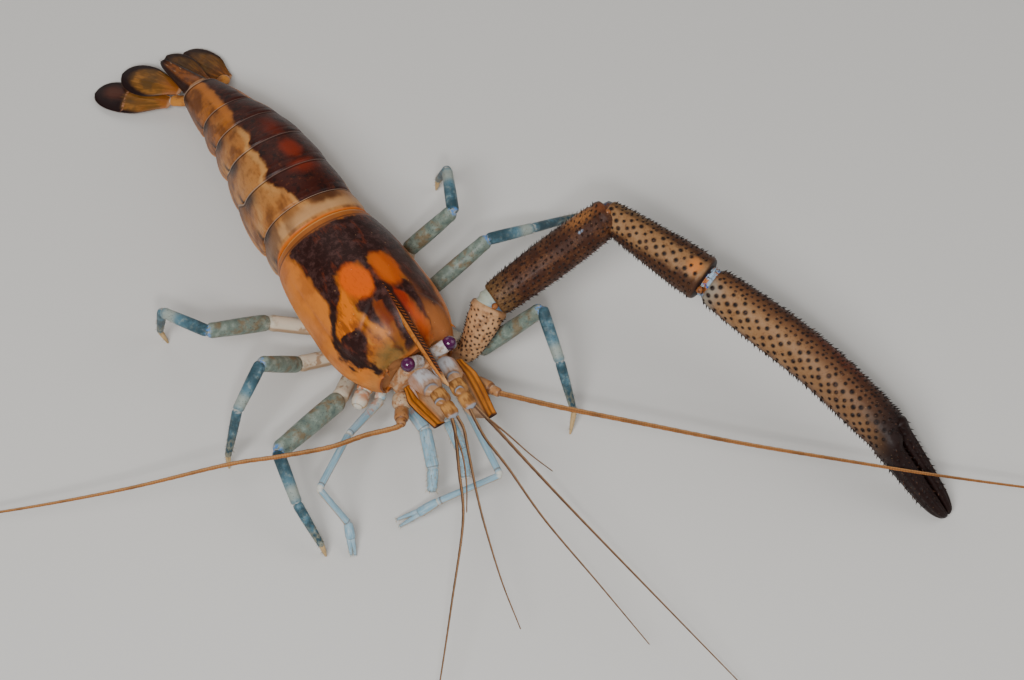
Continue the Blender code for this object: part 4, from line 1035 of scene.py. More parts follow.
def make_tail_fan(settings):
    """Telson, stems and the four side blades."""
    shell = fan_finish(settings)
    hairs = hair_mesh()
    for index, (name, (start, end, tilt, half_width)) in enumerate(FAN_BLADES.items()):
        bm = bmesh.new()
        outer_side = -1 if name.endswith("L") else 1
        kind = "exopod" if "exopod" in name else "endopod"
        blade(bm, hairs, start, end, tilt, half_width, outer_side, kind, 0.1 + 0.2 * index)
        finished(name + "_blade", bm, shell, (name,))
    for name, (start, end) in FAN_STEMS.items():
        bm = bmesh.new()
        limb(bm, (start, end), [(2, 2.3, 2)], around=20, flat=0.75)
        finished(name + "_stem", bm, stem_finish(name), (name,))
    make_telson()
    finished("fan_hairs", hairs, hair_finish("fan_hair", tint(120, 84, 60)))


def make_telson():
    """The tail's middle spike, with two pairs of small spines on its back."""
    start, end = Vector(TELSON_START), Vector(TELSON_END)
    way = (end - start).normalized()
    count = 50
    stations = ((0, 5.3, 3.9), (0.12, 5.2, 3.5), (0.25, 4.8, 2.8), (0.6, 3.4, 1.8), (0.88, 2.1, 1.1),
                (1, 1, 0.6))
    places = crowded(count)
    across = Vector((math.cos(TELSON_ROLL), 0, -math.sin(TELSON_ROLL)))
    across = (across - way * across.dot(way)).normalized()
    up = across.cross(way)

    def spot(turn, row):
        t = places[row]
        wide = smooth_value(stations, t, 1)
        high = smooth_value(stations, t, 2)
        ends = blunt(t / 0.03) * blunt((1 - t) / 0.03)
        angle = 2 * math.pi * turn
        side = wide * math.cos(angle)
        rise = high * math.sin(angle)
        if rise > 0:
            rise += 0.3 * hump(side, wide * 0.55, 0.5) + 0.3 * hump(side, -wide * 0.55, 0.5)
            rise -= 0.35 * hump(side, 0, wide * 0.25) * ease(t, 0.1, 0.4)
        return start + way * ((end - start).length * t - 0.4) + across * (side * ends) + up * (rise * ends)

    bm = bmesh.new()
    sheet(bm, spot, TELSON_AROUND, count, lambda row: places[row])
    for t in (0.55, 0.8):
        row = min(range(count), key=lambda k: abs(places[k] - t))
        for turn in (0.19, 0.31):
            cone(bm, spot(turn, row), way + up * 0.25, 1.3, 0.28, 8, 0.5)
    for turn in (0.02, 0.48):
        cone(bm, spot(turn, count - 2), way, 1.6, 0.25, 8, 0.5)
    finished("telson_shell", bm, telson_finish(), ("telson",))


# Head

def make_eyes(settings):
    """Round dark eyes on short pale stalks."""
    cornea = eye_finish(settings)
    skin = stalk_finish(settings, "eyestalk")
    radius = settings.eye_radius / MM
    for side, centre in EYES.items():
        centre = Vector(centre)
        root = Vector(STALK_ROOTS[side])
        bend = root + Vector((0, 0, 2.4)) + (centre - root).normalized() * 0.6
        neck = centre - (centre - bend).normalized() * radius * 0.35
        path = smooth_path((root, bend, lerp(bend, neck, 0.6), neck), 30)
        widths = [lerp(2, 2.4, ease(k / 29, 0.1, 0.85)) * math.sqrt(max(0, 1 - (2 * k / 29 - 1) ** 16))
                  for k in range(30)]
        bm = bmesh.new()
        tube(bm, path, widths, 24, 0.95)
        finished("eyestalk_skin_" + side, bm, skin, ("eyestalk_" + side,))
        bm = bmesh.new()
        ball(bm, centre, radius, 48, 32)
        finished("cornea_" + side, bm, cornea, ("eye_" + side,))


def feeler(bm, route, root_radius, tip_radius, article, count=260, around=10):
    """Add a long ringed feeler that thins to its tip."""
    path = smooth_path(route, count)
    gone = [0]
    for a, b in zip(path, path[1:]):
        gone.append(gone[-1] + (b - a).length)
    widths = []
    for k in range(count):
        share = gone[k] / gone[-1]
        ring = 1 + 0.05 * math.cos(2 * math.pi * gone[k] / (article * 4))
        widths.append(lerp(root_radius, tip_radius, share ** 0.8) * ring)
    widths[0] = widths[-1] = 0
    tube(bm, path, widths, around, tag=lambda row: gone[row] / article)


def make_antennules(settings):
    """Three-jointed stems with their ringed flagella."""
    article = settings.article / MM
    stem = antennule_finish()
    ringed = feeler_finish("lash_rings", settings.lash)
    for side, outward in SIDES.items():
        bm = bmesh.new()
        limb(bm, ANTENNULE_JOINTS[side], ANTENNULE_RADII, around=48, flat=ANTENNULE_FLATNESS)
        root = Vector(ANTENNULE_JOINTS[side][0])
        cone(bm, root + Vector((outward * 3.6, -4.6, 0.4)), Vector((outward * 0.1, -1, 0.12)), 4.6,
             FRONT_SPINE_RADIUS, 10, FRONT_SPINE_SUNK)
        finished("antennule_stem_" + side, bm, stem, ("antennule_peduncle_" + side,))
        bm = bmesh.new()
        feeler(bm, OUTER_FLAGELLA[side], 0.66, 0.2, article)
        feeler(bm, SHORT_BRANCHES[side], 0.42, 0.2, article, 60)
        finished("antennule_outer_lash_" + side, bm, ringed, ("antennule_outer_" + side,))
        bm = bmesh.new()
        feeler(bm, INNER_FLAGELLA[side], 0.6, 0.2, article)
        finished("antennule_inner_lash_" + side, bm, ringed, ("antennule_inner_" + side,))


def antennal_scale(bm, hairs, start, end, tilt, half_width, outer_side, chart):
    """A long blade with a stout outer rib, an oblique tip and a fringe of hairs on its inner edge."""
    start, way, across, up, length = blade_frame(start, end, tilt)
    count = 56
    places = crowded(count)

    def spot(turn, row):
        t = places[row]
        s = math.cos(2 * math.pi * turn)
        outer = (0.55 + 0.45 * ease(t, 0, 0.35)) * lerp(1, 0.86, ease(t, 0.5, 1))
        inner = (0.5 + 0.5 * ease(t, 0, 0.4)) * round_stop((t - 0.6) / 0.4, 2.2)
        close = blunt(t / 0.03) * blunt((1 - t) / 0.02)
        on_outer = s * outer_side > 0
        reach = (outer if on_outer else inner) * close
        thick = 0.38 * abs(math.sin(2 * math.pi * turn)) ** 0.6 * close
        if on_outer:
            thick += 0.4 * hump(abs(s), 0.8, 0.16) * close
        lift = 0.28 * hump(s, 0.1 * outer_side, 0.06) * close if turn < 0.5 else 0
        rise = thick + lift if turn < 0.5 else -thick
        shift = 1.6 * (t ** 6) * (s * outer_side)
        return start + way * (length * t - 0.8 + 0.5 * shift) + across * (half_width * reach * s) + up * rise

    sheet(bm, spot, SCALE_AROUND, count, lambda row: places[row])
    inner_edge = 0.5 if outer_side > 0 else 0
    for k in range(12, count - 1):
        steps = max(1, round((places[k + 1] - places[k]) * length / 0.3))
        for step in range(steps):
            here = lerp(spot(inner_edge, k), spot(inner_edge, k + 1), step / steps)
            out = -across * outer_side
            fine_hair(hairs, here, out * lerp(0.7, 0.3, places[k]) + way, 1.6,
                      (chart, 0.05 + 0.9 * (k + step / steps) / count))


def make_antennae(settings):
    """Stout stems, broad scales and the long ringed feelers."""
    article = settings.article / MM
    stem = peduncle_finish(settings, "antenna_stem")
    ringed = feeler_finish("feeler_rings", settings.feeler)
    plate = scale_finish(settings)
    hairs = hair_mesh()
    for index, (side, outward) in enumerate(SIDES.items()):
        bm = bmesh.new()
        limb(bm, ANTENNA_JOINTS[side], ANTENNA_RADII, around=24)
        last = Vector(ANTENNA_JOINTS[side][2])
        way = (last - Vector(ANTENNA_JOINTS[side][1])).normalized()
        segment(bm, last - way * 0.6, Vector(ANTENNA_ROUTES[side][0]) + way * 0.6, (1.9, 1.7, 1.4), 1, 20, 14)
        finished("antenna_stem_" + side, bm, stem, ("antenna_peduncle_" + side,))
        bm = bmesh.new()
        feeler(bm, (last, *ANTENNA_ROUTES[side]), 1, 0.26, article, 420, 12)
        finished("antenna_lash_" + side, bm, ringed, ("antenna_flagellum_" + side,))
        bm = bmesh.new()
        antennal_scale(bm, hairs, *SCALES[side], -outward, 0.2 + 0.5 * index)
        finished("antennal_scale_" + side, bm, plate, ("antenna_scale_" + side,))
    finished("antennal_scale_hairs", hairs, hair_finish("scale_hair", tint(200, 170, 130)))


# Legs

def carapace_edge(y):
    """Half width and height of the carapace's lower edge at a station."""
    return smooth_value(CARAPACE_STATIONS, y, 1) * EDGE_SHARE, smooth_value(CARAPACE_STATIONS, y, 4)


def leg_root(side, leg):
    """Where a leg leaves the thorax."""
    half, edge = carapace_edge(LEG_ROOT_Y[leg])
    side_at = lerp(half - THORAX_INSET, STERNUM_HALF_WIDTH, 0.55)
    return body_point(SIDES[side] * side_at, LEG_ROOT_Y[leg], lerp(edge - 0.3, STERNUM_HEIGHT, 0.55))


def leg_hairs(hairs, start, end, radius, count, length, draw, chart):
    """Hairs on a length of a leg, leaning towards its tip."""
    way = (end - start).normalized()
    across = way.cross(Vector((0, 0, 1))).normalized()
    up = way.cross(across)
    for k in range(count):
        share = draw.random()
        angle = draw.uniform(0, 2 * math.pi)
        out = across * math.cos(angle) + up * math.sin(angle)
        root = lerp(start, end, share) + out * radius * 0.92
        if root.z < 1.6:
            continue
        fine_hair(hairs, root, out + way * draw.uniform(0.6, 1.2), length * draw.uniform(0.6, 1.1),
                  (chart, 0.03 + 0.94 * k / count))


def make_walking_legs(settings):
    """Three pairs of walking legs."""
    draw = random.Random(LEG_HAIR_SEED)
    hairs = hair_mesh()
    finish = leg_finish(settings)
    hair = settings.hair / MM
    for index, (name, joints) in enumerate(WALKING_LEGS.items()):
        stout = LEG_STOUTNESS.get(name, 1)
        radii = [tuple(r * (stout if k == 2 else 1) for r in row) for k, row in enumerate(WALKING_RADII)]
        bm = bmesh.new()
        points = [Vector(p) for p in (leg_root(name[-1], name[0]), *joints)]
        limb(bm, points, radii, around=20)
        nodes = ["leg_%s_%s_%s" % (name[0], part, name[-1]) for part in ("upper", "lower")]
        finished("walking_leg_" + name, bm, finish, nodes)
        for k, count in ((2, 26), (3, 60), (4, 110), (5, 40)):
            leg_hairs(hairs, points[k], points[k + 1], radii[k][1], count, hair * (1 if k > 3 else 0.7), draw,
                      0.04 + 0.15 * index + 0.03 * (k - 2))
    finished("walking_leg_hairs", hairs, hair_finish("leg_hair", tint(150, 132, 104)))


def make_first_legs(settings):
    """The first legs with their small pincers, and the third maxillipeds."""
    draw = random.Random(MOUTH_HAIR_SEED)
    hairs = hair_mesh()
    hair = settings.hair / MM
    finish = pale_limb_finish(settings, "first_leg")
    for index, (side, sign) in enumerate(SIDES.items()):
        points = [Vector(p) for p in (leg_root(side, "1"), *FIRST_LEGS[side])]
        bm = bmesh.new()
        limb(bm, points[:5], FIRST_LEG_RADII[:4], around=20)
        wrist, tip = points[4], points[5]
        palm_end = lerp(wrist, tip, 0.48)
        way = (tip - wrist).normalized()
        aside = way.cross(Vector((0, 0, 1))).normalized()
        segment(bm, wrist, palm_end, (1.4, 1.7, 1.6), 4, 20, 20)
        opened = 0.9 if side == "R" else 2
        for offset, end in ((-0.5, tip - aside * 0.5), (0.6, tip + aside * opened + Vector((0, 0, 0.6)))):
            root = palm_end - way * 1.2 + aside * offset
            segment(bm, root, end, (0.95, 0.8, 0.35), 5, 16, 22)
            leg_hairs(hairs, lerp(root, end, 0.3), end, 0.6, 40, hair * 1.1, draw, 0.1 + 0.2 * index)
        leg_hairs(hairs, points[3], wrist, 1.2, 30, hair * 0.7, draw, 0.2 + 0.2 * index)
        nodes = ["leg_1_%s_%s" % (part, side) for part in ("upper", "lower")]
        finished("first_leg_" + side, bm, finish, nodes)
        bm = bmesh.new()
        root = body_point(sign * 4.6, THORAX_FRONT, 12.6)
        points = [root] + [Vector(p) for p in MAXILLIPEDS[side]]
        limb(bm, points, MAXILLIPED_RADII, around=24, flat=0.7)
        for k in (2, 3):
            leg_hairs(hairs, points[k], points[k + 1], MAXILLIPED_RADII[k][1], 140, hair * 1.3, draw,
                      0.6 + 0.15 * index + 0.05 * (k - 2))
        finished("maxilliped_limb_" + side, bm, finish, ("maxilliped_" + side,))
    finished("first_leg_hairs", hairs, hair_finish("mouth_hair", tint(186, 160, 112)))


# Claw

def claw_length(bm, name, points, count):
    """Add a length of the claw, rounded at its ends; return its spot function, path, widths and places."""
    if len(points) > 2:
        path = smooth_path(points, count + 1)
    else:
        path = [lerp(points[0], points[1], k / count) for k in range(count + 1)]
    whole = path_length(path)
    gone = 0
    widths = []
    places = []
    for k, here in enumerate(path):
        gone += (here - path[k - 1]).length if k else 0
        share = gone / whole
        width = smooth_value(CLAW_WIDTHS[name], share)
        ends = round_start(gone / 1.6) * round_start((whole - gone) / 1.4)
        lip = 0.25 * hump(whole - gone, 2.6, 0.9) - 0.3 * hump(whole - gone, 4.6, 0.9)
        widths.append((width + lip) * ends)
        places.append(share)
    spot = tube(bm, path, widths, CLAW_AROUND, tag=lambda row: places[row])
    return spot, path, widths, places


def finger_taper(u):
    """Share of a finger's half width that is left at a share of its length."""
    return 1 - 0.4 * u - 0.34 * u ** 10


def finger(bm, knuckle, tip):
    """Add the claw's moving finger, ridged lengthwise, with low teeth on its cutting edge."""
    along = (tip - knuckle).normalized()
    across = along.cross(Vector((0, 0, 1))).normalized()
    up = across.cross(along)
    start = knuckle - along * 6.5
    count = 96
    half_width, depth = FINGERS["moving"]
    places = crowded(count)

    def spot(turn, row):
        t = places[row]
        half = half_width * finger_taper(t) * (1 + 0.16 * hump(t, 0.06, 0.07))
        ends = round_start(t / 0.07) * round_stop((t - 0.95) / 0.05)
        angle = 2 * math.pi * turn
        ridges = 1 + 0.05 * math.cos(9 * angle) * ease(t, 0.1, 0.3)
        lateral = half * math.cos(angle) * ridges
        tooth = ease(math.sin(2 * math.pi * t * FINGER_TEETH), 0.2, 0.9)
        lateral += 0.35 * tooth * hump(turn, 0, 0.06) * ease(t, 0.1, 0.2)
        middle = lerp(start, tip, t) - across * (half_width * finger_taper(t) - 0.2)
        return middle + (across * lateral + up * (half * depth * math.sin(angle) * ridges)) * ends

    sheet(bm, spot, FINGER_AROUND, count, lambda row: places[row])
    return spot, places


def palm_and_finger(bm, points, knuckle, tip):
    """Add the palm and the fixed finger as one skin, whose section slides to its side past the knuckle."""
    count, more = 300, 100
    path = smooth_path(points, count + 1)
    whole = path_length(path)
    reach = (tip - knuckle).length
    shares = [1 - (1 - k / more) ** 1.4 for k in range(1, more + 1)]
    path += [lerp(knuckle, tip, share) for share in shares]
    places = [k / count for k in range(count + 1)] + [1 + share for share in shares]
    frames = carried(path)
    half_width, depth = FINGERS["fixed"]
    sizes = []
    for place in places:
        past = (place - 1) * (whole if place < 1 else reach)
        palm = smooth_value(CLAW_WIDTHS["claw_palm"], min(1, place))
        half = half_width * finger_taper(max(0, place - 1))
        slide = ease(past, -5.5, 3)
        ends = round_start(place * whole / 2.2) * round_stop((place - 1.95) / 0.05)
        sizes.append((lerp(palm, half, slide), lerp(palm, half * depth, ease(past, -4.5, 6)),
                      (half + 0.02) * slide, ends, ease(past, 2, 8)))

    def spot(turn, row):
        here, across, up = frames[row]
        wide, high, shift, ends, ridged = sizes[row]
        angle = 2 * math.pi * turn
        ridges = 1 + 0.045 * math.cos(9 * angle) * ridged
        lateral = wide * math.cos(angle) * ridges
        tooth = ease(math.sin(2 * math.pi * places[row] * FINGER_TEETH), 0.2, 0.9)
        lateral -= 0.35 * ridged * tooth * hump(turn, 0.5, 0.06)
        return here + across * (shift + lateral * ends) + up * (high * math.sin(angle) * ridges * ends)

    sheet(bm, spot, PALM_AROUND, count + more, lambda row: places[row])
    return spot, places, whole, reach


def surface_direction(spot, turn, row, rows):
    """Outward direction of a skin at a spot."""
    around = spot(turn + 0.01, row) - spot(turn - 0.01, row)
    along = spot(turn, min(row + 1, rows)) - spot(turn, max(row - 1, 0))
    out = around.cross(along).normalized()
    inward = spot(turn + 0.5, row) - spot(turn, row)
    return out if out.dot(inward) < 0 else -out


def rough_spines(spines, name, spot, rows, places, whole, girth, settings, draw, chart):
    """Cover a length of the claw with spines and return their roots; a clear strip has few, stout ones."""
    between, step, length, radius, first, last = SPINE_ROWS[name]
    middle, half = CLEAR_STRIPS.get(name, (0, -1))
    lines = max(5, round(girth / (between * settings.spacing)))
    count = max(2, round(whole * (last - first) / (step * settings.spacing)))
    roots = []
    for line in range(lines):
        for k in range(count):
            clear = abs((line / lines - middle + 0.5) % 1 - 0.5) < half
            drift = 0.2 if clear else 0.24
            turn = (line + draw.uniform(-drift, drift)) / lines % 1
            offset = 0 if clear else 0.5 * (line % 2)
            share = lerp(first, last, (k + offset + draw.uniform(-drift, drift)) / count)
            if share > last or clear and (line + k) % 2:
                continue
            row = min(range(1, rows), key=lambda r: abs(places[r] - share))
            root = spot(turn, row)
            way = (spot(turn, row + 1) - spot(turn, row - 1)).normalized()
            size = draw.uniform(0.75, 1.15)
            stout = 1.55 if clear else 1
            cone(spines, root, surface_direction(spot, turn, row, rows) + way * 0.7,
                 length * size * (0.7 if clear else 1), radius * stout * lerp(1, size, 0.5), 6, 0.3,
                 (chart + 0.13 * turn, 0.03 + 0.94 * (share % 1)))
            roots.append((root, radius * stout * size))
    return roots


def dot_shell(piece, roots):
    """Mark a dark dot round each spine's root in the skin's Dots attribute."""
    tree = KDTree(len(roots))
    for k, (root, _) in enumerate(roots):
        tree.insert(at(root), k)
    tree.balance()
    marks = piece.data.attributes.new("Dots", "FLOAT", "POINT")
    values = []
    for vert in piece.data.vertices:
        _, k, distance = tree.find(vert.co)
        reach = roots[k][1] * DOT_REACH
        values.append(ease(distance / MM, reach * 1.5, reach * 0.8))
    marks.data.foreach_set("value", values)


def make_claw(settings):
    """The long left claw: ischium, merus, carpus, palm and fingers, with their spines."""
    draw = random.Random(settings.seed)
    joints = [Vector(p) for p in CLAW_JOINTS]
    root = leg_root("L", "2")
    knuckle, tip = joints[6], Vector(CLAW_TIP)
    way = (joints[3] - joints[2]).normalized()
    lengths = {"claw_ischium": ((root, joints[0], joints[1],
                                 joints[2] - (joints[2] - joints[1]).normalized() * 0.4), 90),
               "claw_merus": ((joints[2] + way * 0.2, joints[3] + way * 1.2), 150),
               "claw_carpus": ((joints[3] - (joints[4] - joints[3]).normalized() * 2.2,
                                joints[4] - Vector((0, 0, 0.2))), 130)}
    spines = hair_mesh()
    for index, (name, (points, count)) in enumerate(lengths.items()):
        bm = bmesh.new()
        spot, path, widths, places = claw_length(bm, name, points, count)
        whole = path_length(path)
        girth = 2 * math.pi * max(widths) * 0.95
        roots = rough_spines(spines, name, spot, count, places, whole, girth, settings, draw,
                             0.02 + 0.16 * index)
        piece = finished(name + "_shell", bm, claw_finish(settings, name), (name,))
        dot_shell(piece, roots)
    bm = bmesh.new()
    start = joints[4] + (joints[5] - joints[4]).normalized() * 0.6
    spot, places, whole, reach = palm_and_finger(bm, (start, joints[5], knuckle), knuckle, tip)
    rows = len(places) - 1
    roots = rough_spines(spines, "claw_palm", spot, rows, places, whole, GIRTHS["claw_palm"], settings,
                         draw, 0.5)
    roots += rough_spines(spines, "fixed", spot, rows, places, reach, GIRTHS["fixed"], settings, draw,
                          0.66)
    piece = finished("claw_palm_shell", bm, claw_finish(settings, "claw_palm"), ("claw_palm",))
    dot_shell(piece, roots)
    bm = bmesh.new()
    spot, places = finger(bm, knuckle, tip)
    roots = rough_spines(spines, "moving", spot, len(places) - 1, places, reach, GIRTHS["moving"], settings,
                         draw, 0.84)
    piece = finished("claw_finger_shell", bm, claw_finish(settings, "claw_finger"),
                     ("claw_finger",))
    dot_shell(piece, roots)
    finished("claw_spines", spines, spine_finish(settings))
    make_claw_joints(settings, joints)


def make_claw_joints(settings, joints):
    """Joint skin and the hinge knobs at the claw's joints."""
    skin = bmesh.new()
    knobs = bmesh.new()
    for k, radius, knob in ((2, 5.2, 1.2), (3, 4.8, 1.3), (4, 5.7, 1.4)):
        way_in = (joints[k] - joints[k - 1]).normalized()
        way_out = (joints[k + 1] - joints[k]).normalized()
        path = [joints[k] - way_in * 3, joints[k] - way_in * 1.5, joints[k], joints[k] + way_out * 1.5,
                joints[k] + way_out * 3]
        path = smooth_path(path, 21)
        widths = [radius * (0 if row in (0, 20) else 1 - 0.06 * math.cos(row * 2.2)) for row in range(21)]
        tube(skin, path, widths, 40)
        hinge = way_in.cross(way_out).normalized()
        for side in (-1, 1):
            ball(knobs, joints[k] + hinge * (side * (radius + 0.4)), knob)
    finished("claw_joint_skin", skin, membrane_finish(settings))
    finished("claw_hinge_knobs", knobs, knob_finish(settings))


def make_stump(settings):
    """The short stump of the lost right claw."""
    root = leg_root("R", "2")
    tip = Vector(STUMP_TIP)
    bm = bmesh.new()
    middle = lerp(root, tip, 0.55)
    limb(bm, (root, middle, tip - (tip - root).normalized() * 0.6), [(2.9, 2.9, 2.8), (2.8, 2.9, 2.5)],
         around=24)
    finished("claw_stump", bm, pale_limb_finish(settings, "stump"), ("claw_stump_R",))


# Finishes of the pieces

def shell_finish(settings):
    """Carapace: tan flanks, dark saddle, orange spots and soft streaks that run forward."""
    f = Finish("carapace_shell", settings.flank, 0.42, coat=0.05, through=0.05)
    f.fray(0.42, 1.5, (1, 0.5, 1))
    cloud = f.noise(0.1, 3, 0.5)
    streak = f.noise(0.36, 4, 0.6, stretch=(1, 0.3, 1))
    fine = f.noise(1.3, 5, 0.65, stretch=(1, 0.4, 1))
    f.lay(tint(170, 90, 32), f.step(cloud, 0.46, 0.66), 0.6)
    f.lay(tint(228, 156, 82), f.both(f.step(f.z, 32, 20), f.step(streak, 0.4, 0.6)), 0.5)
    f.lay(settings.pale, f.step(f.z, 19, 15), 0.6)
    left = f.curve(f.wavy_y, [(-62, -10.5), (-58, -13.5), (-54, -16.6), (-50, -19), (-46, -20.6),
                              (-41, -20.4), (-37, -18), (-31, -16.4), (-20, -16.2), (-12, -17.2),
                              (-3, -18.8)])
    depth = f.sum("SUBTRACT", f.wavy_x, left)
    inside = f.both(f.step(depth, -0.6, 0.6), f.step(f.wavy_x, 19.5, 17))
    f.lay(settings.olive, inside)
    f.lay(tint(112, 60, 22), f.both(inside, f.step(streak, 0.44, 0.6)), 0.85)
    f.lay(tint(190, 122, 42), f.both(inside, f.step(streak, 0.42, 0.3)), 0.7)
    f.lay(tint(124, 104, 58), f.spot(-7, -58, 7, 3.2, soft=0.7), 0.7)
    f.lay(tint(226, 118, 14), f.streak([(-47, -15, -2), (-42, -15, 3.6), (-36, -12.4, 2.8), (-31, -11.4, 1.2),
                                        (-28, -11, -1.5)], 1.6), 0.85)
    f.lay(tint(132, 66, 22), f.both(f.spot(-13.5, -41, 5, 7, soft=0.6), f.step(streak, 0.46, 0.6)), 0.8)
    f.lay(tint(206, 122, 28), f.streak([(-58, -4, -1.5), (-53, -6.2, 1.6), (-46, -8.8, 1.5),
                                        (-40, -10.4, 0.8), (-38, -10, -1)], 1), 0.8)
    f.lay(tint(120, 50, 18), f.streak([(-58, -1.4, -2), (-52, -2, 2.8), (-44, -1.8, 3.6), (-39, -1.2, 2),
                                       (-37, -1.2, 0.2)], 1.8))
    f.lay(tint(150, 88, 34), f.streak([(-59, -1.6, -1), (-55, -2, 2), (-50, -2.6, -1)], 1.6), 0.8)
    f.lay(tint(142, 40, 12), f.streak([(-52, 5.6, 0.6), (-46, 4.8, 2.6), (-40, 4, 2.2), (-37, 4, -1)], 1.4))
    f.lay(tint(186, 74, 12), f.streak([(-59, 7.4, -2), (-55, 7, 2.2), (-51, 6.4, 1.6), (-46, 5.8, -1.8)],
                                      2.2), 0.9)
    f.lay(tint(104, 56, 32), f.both(f.step(f.wavy_x, 9, 12), inside))
    f.lay(tint(178, 106, 54), f.spot(14, -55, 4.6, 6, soft=0.6), 0.9)
    strips = f.either(f.streak([(-45, -20, -1), (-40, -19.6, 0.9), (-35, -16.8, 1.4), (-30, -14.2, 2.6),
                                (-20, -13.4, 3.6)], 0.9),
                      f.streak([(-42, 0, 1.6), (-39.5, 0.4, 4.4), (-36, 1, 2.2), (-26, 1.2, 1.5),
                                (-22, 1.2, 2)]),
                      f.streak([(-53, -5.4, -1.4), (-48, -6.4, 1.1), (-43, -7.2, 1.9),
                                (-38.6, -6.2, 3.2), (-37.4, -5.6, 0.2)], 0.9),
                      f.streak([(-60, 9.4, -1), (-50, 9.6, 0.9), (-44, 9, 1.9), (-38.8, 7.6, 3),
                                (-37.2, 7.2, 0.2)], 0.9),
                      f.streak([(-56, -15.4, -0.6), (-52.6, -16.2, 2.2), (-49.4, -15.8, 3.7),
                                (-46.2, -16.2, 3.9), (-44, -17.8, 1.9), (-42.8, -18.6, -0.6)], 0.9),
                      f.faint(f.streak([(-61, -2.6, -1), (-57, -4.4, 0.9), (-52, -6.2, -0.8)], 0.9), 0.7),
                      f.faint(f.streak([(-50, 15, -1), (-40, 15.2, 3.4), (-24, 14.6, 4.4)], 1.6), 0.85))
    back = f.both(f.step(f.wavy_y, -24.6, -22.6), f.step(f.wavy_y, -2.6, -4.2), f.step(depth, 0.2, 1.4),
                  f.step(f.wavy_x, 22, 17))
    dark = f.both(f.either(back, strips), f.step(f.y, -61, -58))
    f.lay(settings.saddle, dark)
    f.lay(settings.marbling, f.both(dark, f.step(f.noise(0.34, 6, 0.7), 0.44, 0.66)), 0.75)
    f.lay(tint(110, 46, 24), f.both(dark, f.step(streak, 0.54, 0.68)), 0.6)
    spot_left = f.spot(-5.2, -30.6, 5, 7.9, 4, soft=0.24)
    f.lay(settings.orange, spot_left)
    f.lay(tint(176, 66, 0), f.both(spot_left, f.step(fine, 0.5, 0.7)), 0.35)
    f.lay(tint(186, 80, 14), f.spot(6.4, -31, 4.3, 7.8, soft=0.26), 0.95)
    f.lay(tint(206, 96, 14), f.spot(5.4, -30, 2.2, 6, soft=0.5), 0.8)
    f.lay(tint(40, 18, 13), f.both(f.hill(depth, 0.4, 0.8, 0.8), f.step(f.y, -30, -38)))
    crest = f.sum("ADD", f.x, f.sum("MULTIPLY", f.y, 0.036))
    f.lay(tint(44, 20, 12), f.both(f.hill(crest, 1.3, 0.8, 0.8), f.step(f.y, -34, -40)), 0.9)
    f.lay(tint(160, 92, 40), f.step(f.y, -3.4, -2.6), 0.85)
    f.lay(tint(86, 42, 18), f.hill(f.y, -2.5, 0.35), 0.7)
    f.lay(tint(206, 140, 72), f.step(f.y, -0.8, -0.4), 0.8)
    f.lay(tint(186, 104, 44), f.step(f.y, -59, -60.4), 0.8)
    f.lay(tint(70, 34, 18), f.hill(f.y, -60.7, 0.3), 0.8)
    f.lay(tint(176, 120, 76), f.either(f.step(f.place, -61.2, -61.8), f.step(f.place, 0.5, 1.5)))
    f.lay(tint(226, 176, 120), f.both(f.specks(0.34, 0.07), inside), 0.5)
    f.press(fine, 0.07)
    f.press(f.specks(1.5, 0.3), -0.02)
    f.press(f.noise(4, 3), 0.02)
    return f.done()


def rostrum_finish():
    """Pale strip low on each side, dark crest with feathery tooth marks."""
    f = Finish("rostrum_blade", tint(150, 84, 36), 0.42, coat=0.05, through=0.05)
    share = f.sum("ABSOLUTE", f.sum("SUBTRACT", f.turn, 0.5))
    f.lay(tint(204, 128, 58), f.both(f.step(share, 0.25, 0.28), f.step(f.turn, 0.4, 0.6)))
    f.lay(tint(150, 84, 34), f.step(f.noise(0.7, 4), 0.46, 0.62), 0.6)
    f.lay(tint(46, 21, 12), f.either(f.step(share, 0.335, 0.36), f.step(f.turn, 0.36, 0.3),
                                     f.hill(share, 0.235, 0.02)))
    marks = f.node("ShaderNodeTexWave", wave_type="BANDS", bands_direction="DIAGONAL")
    f.feed(marks.inputs["Vector"], f.own)
    f.feed(marks.inputs["Scale"], 0.4)
    f.feed(marks.inputs["Distortion"], 1.2)
    f.lay(tint(158, 84, 36), f.both(f.step(marks.outputs[0], 0.62, 0.9), f.step(share, 0.36, 0.4)), 0.85)
    f.lay(tint(214, 160, 104), f.step(f.y, -74, -78))
    f.press(f.noise(2.2, 4), 0.08)
    return f.done()


def under_finish():
    """Pale under body with cross grooves."""
    f = Finish("under_body", tint(196, 170, 140), 0.42, through=0.1)
    bands = f.node("ShaderNodeTexWave", wave_type="BANDS", bands_direction="Y")
    f.feed(bands.inputs["Vector"], f.own)
    f.feed(bands.inputs["Scale"], 0.036)
    f.lay(tint(140, 104, 78), f.step(bands.outputs[0], 0.75, 0.95))
    f.lay(tint(150, 96, 56), f.step(f.noise(0.4, 4), 0.5, 0.66))
    f.press(bands.outputs[0], -0.5)
    f.press(f.noise(1.5), 0.2)
    return f.done()


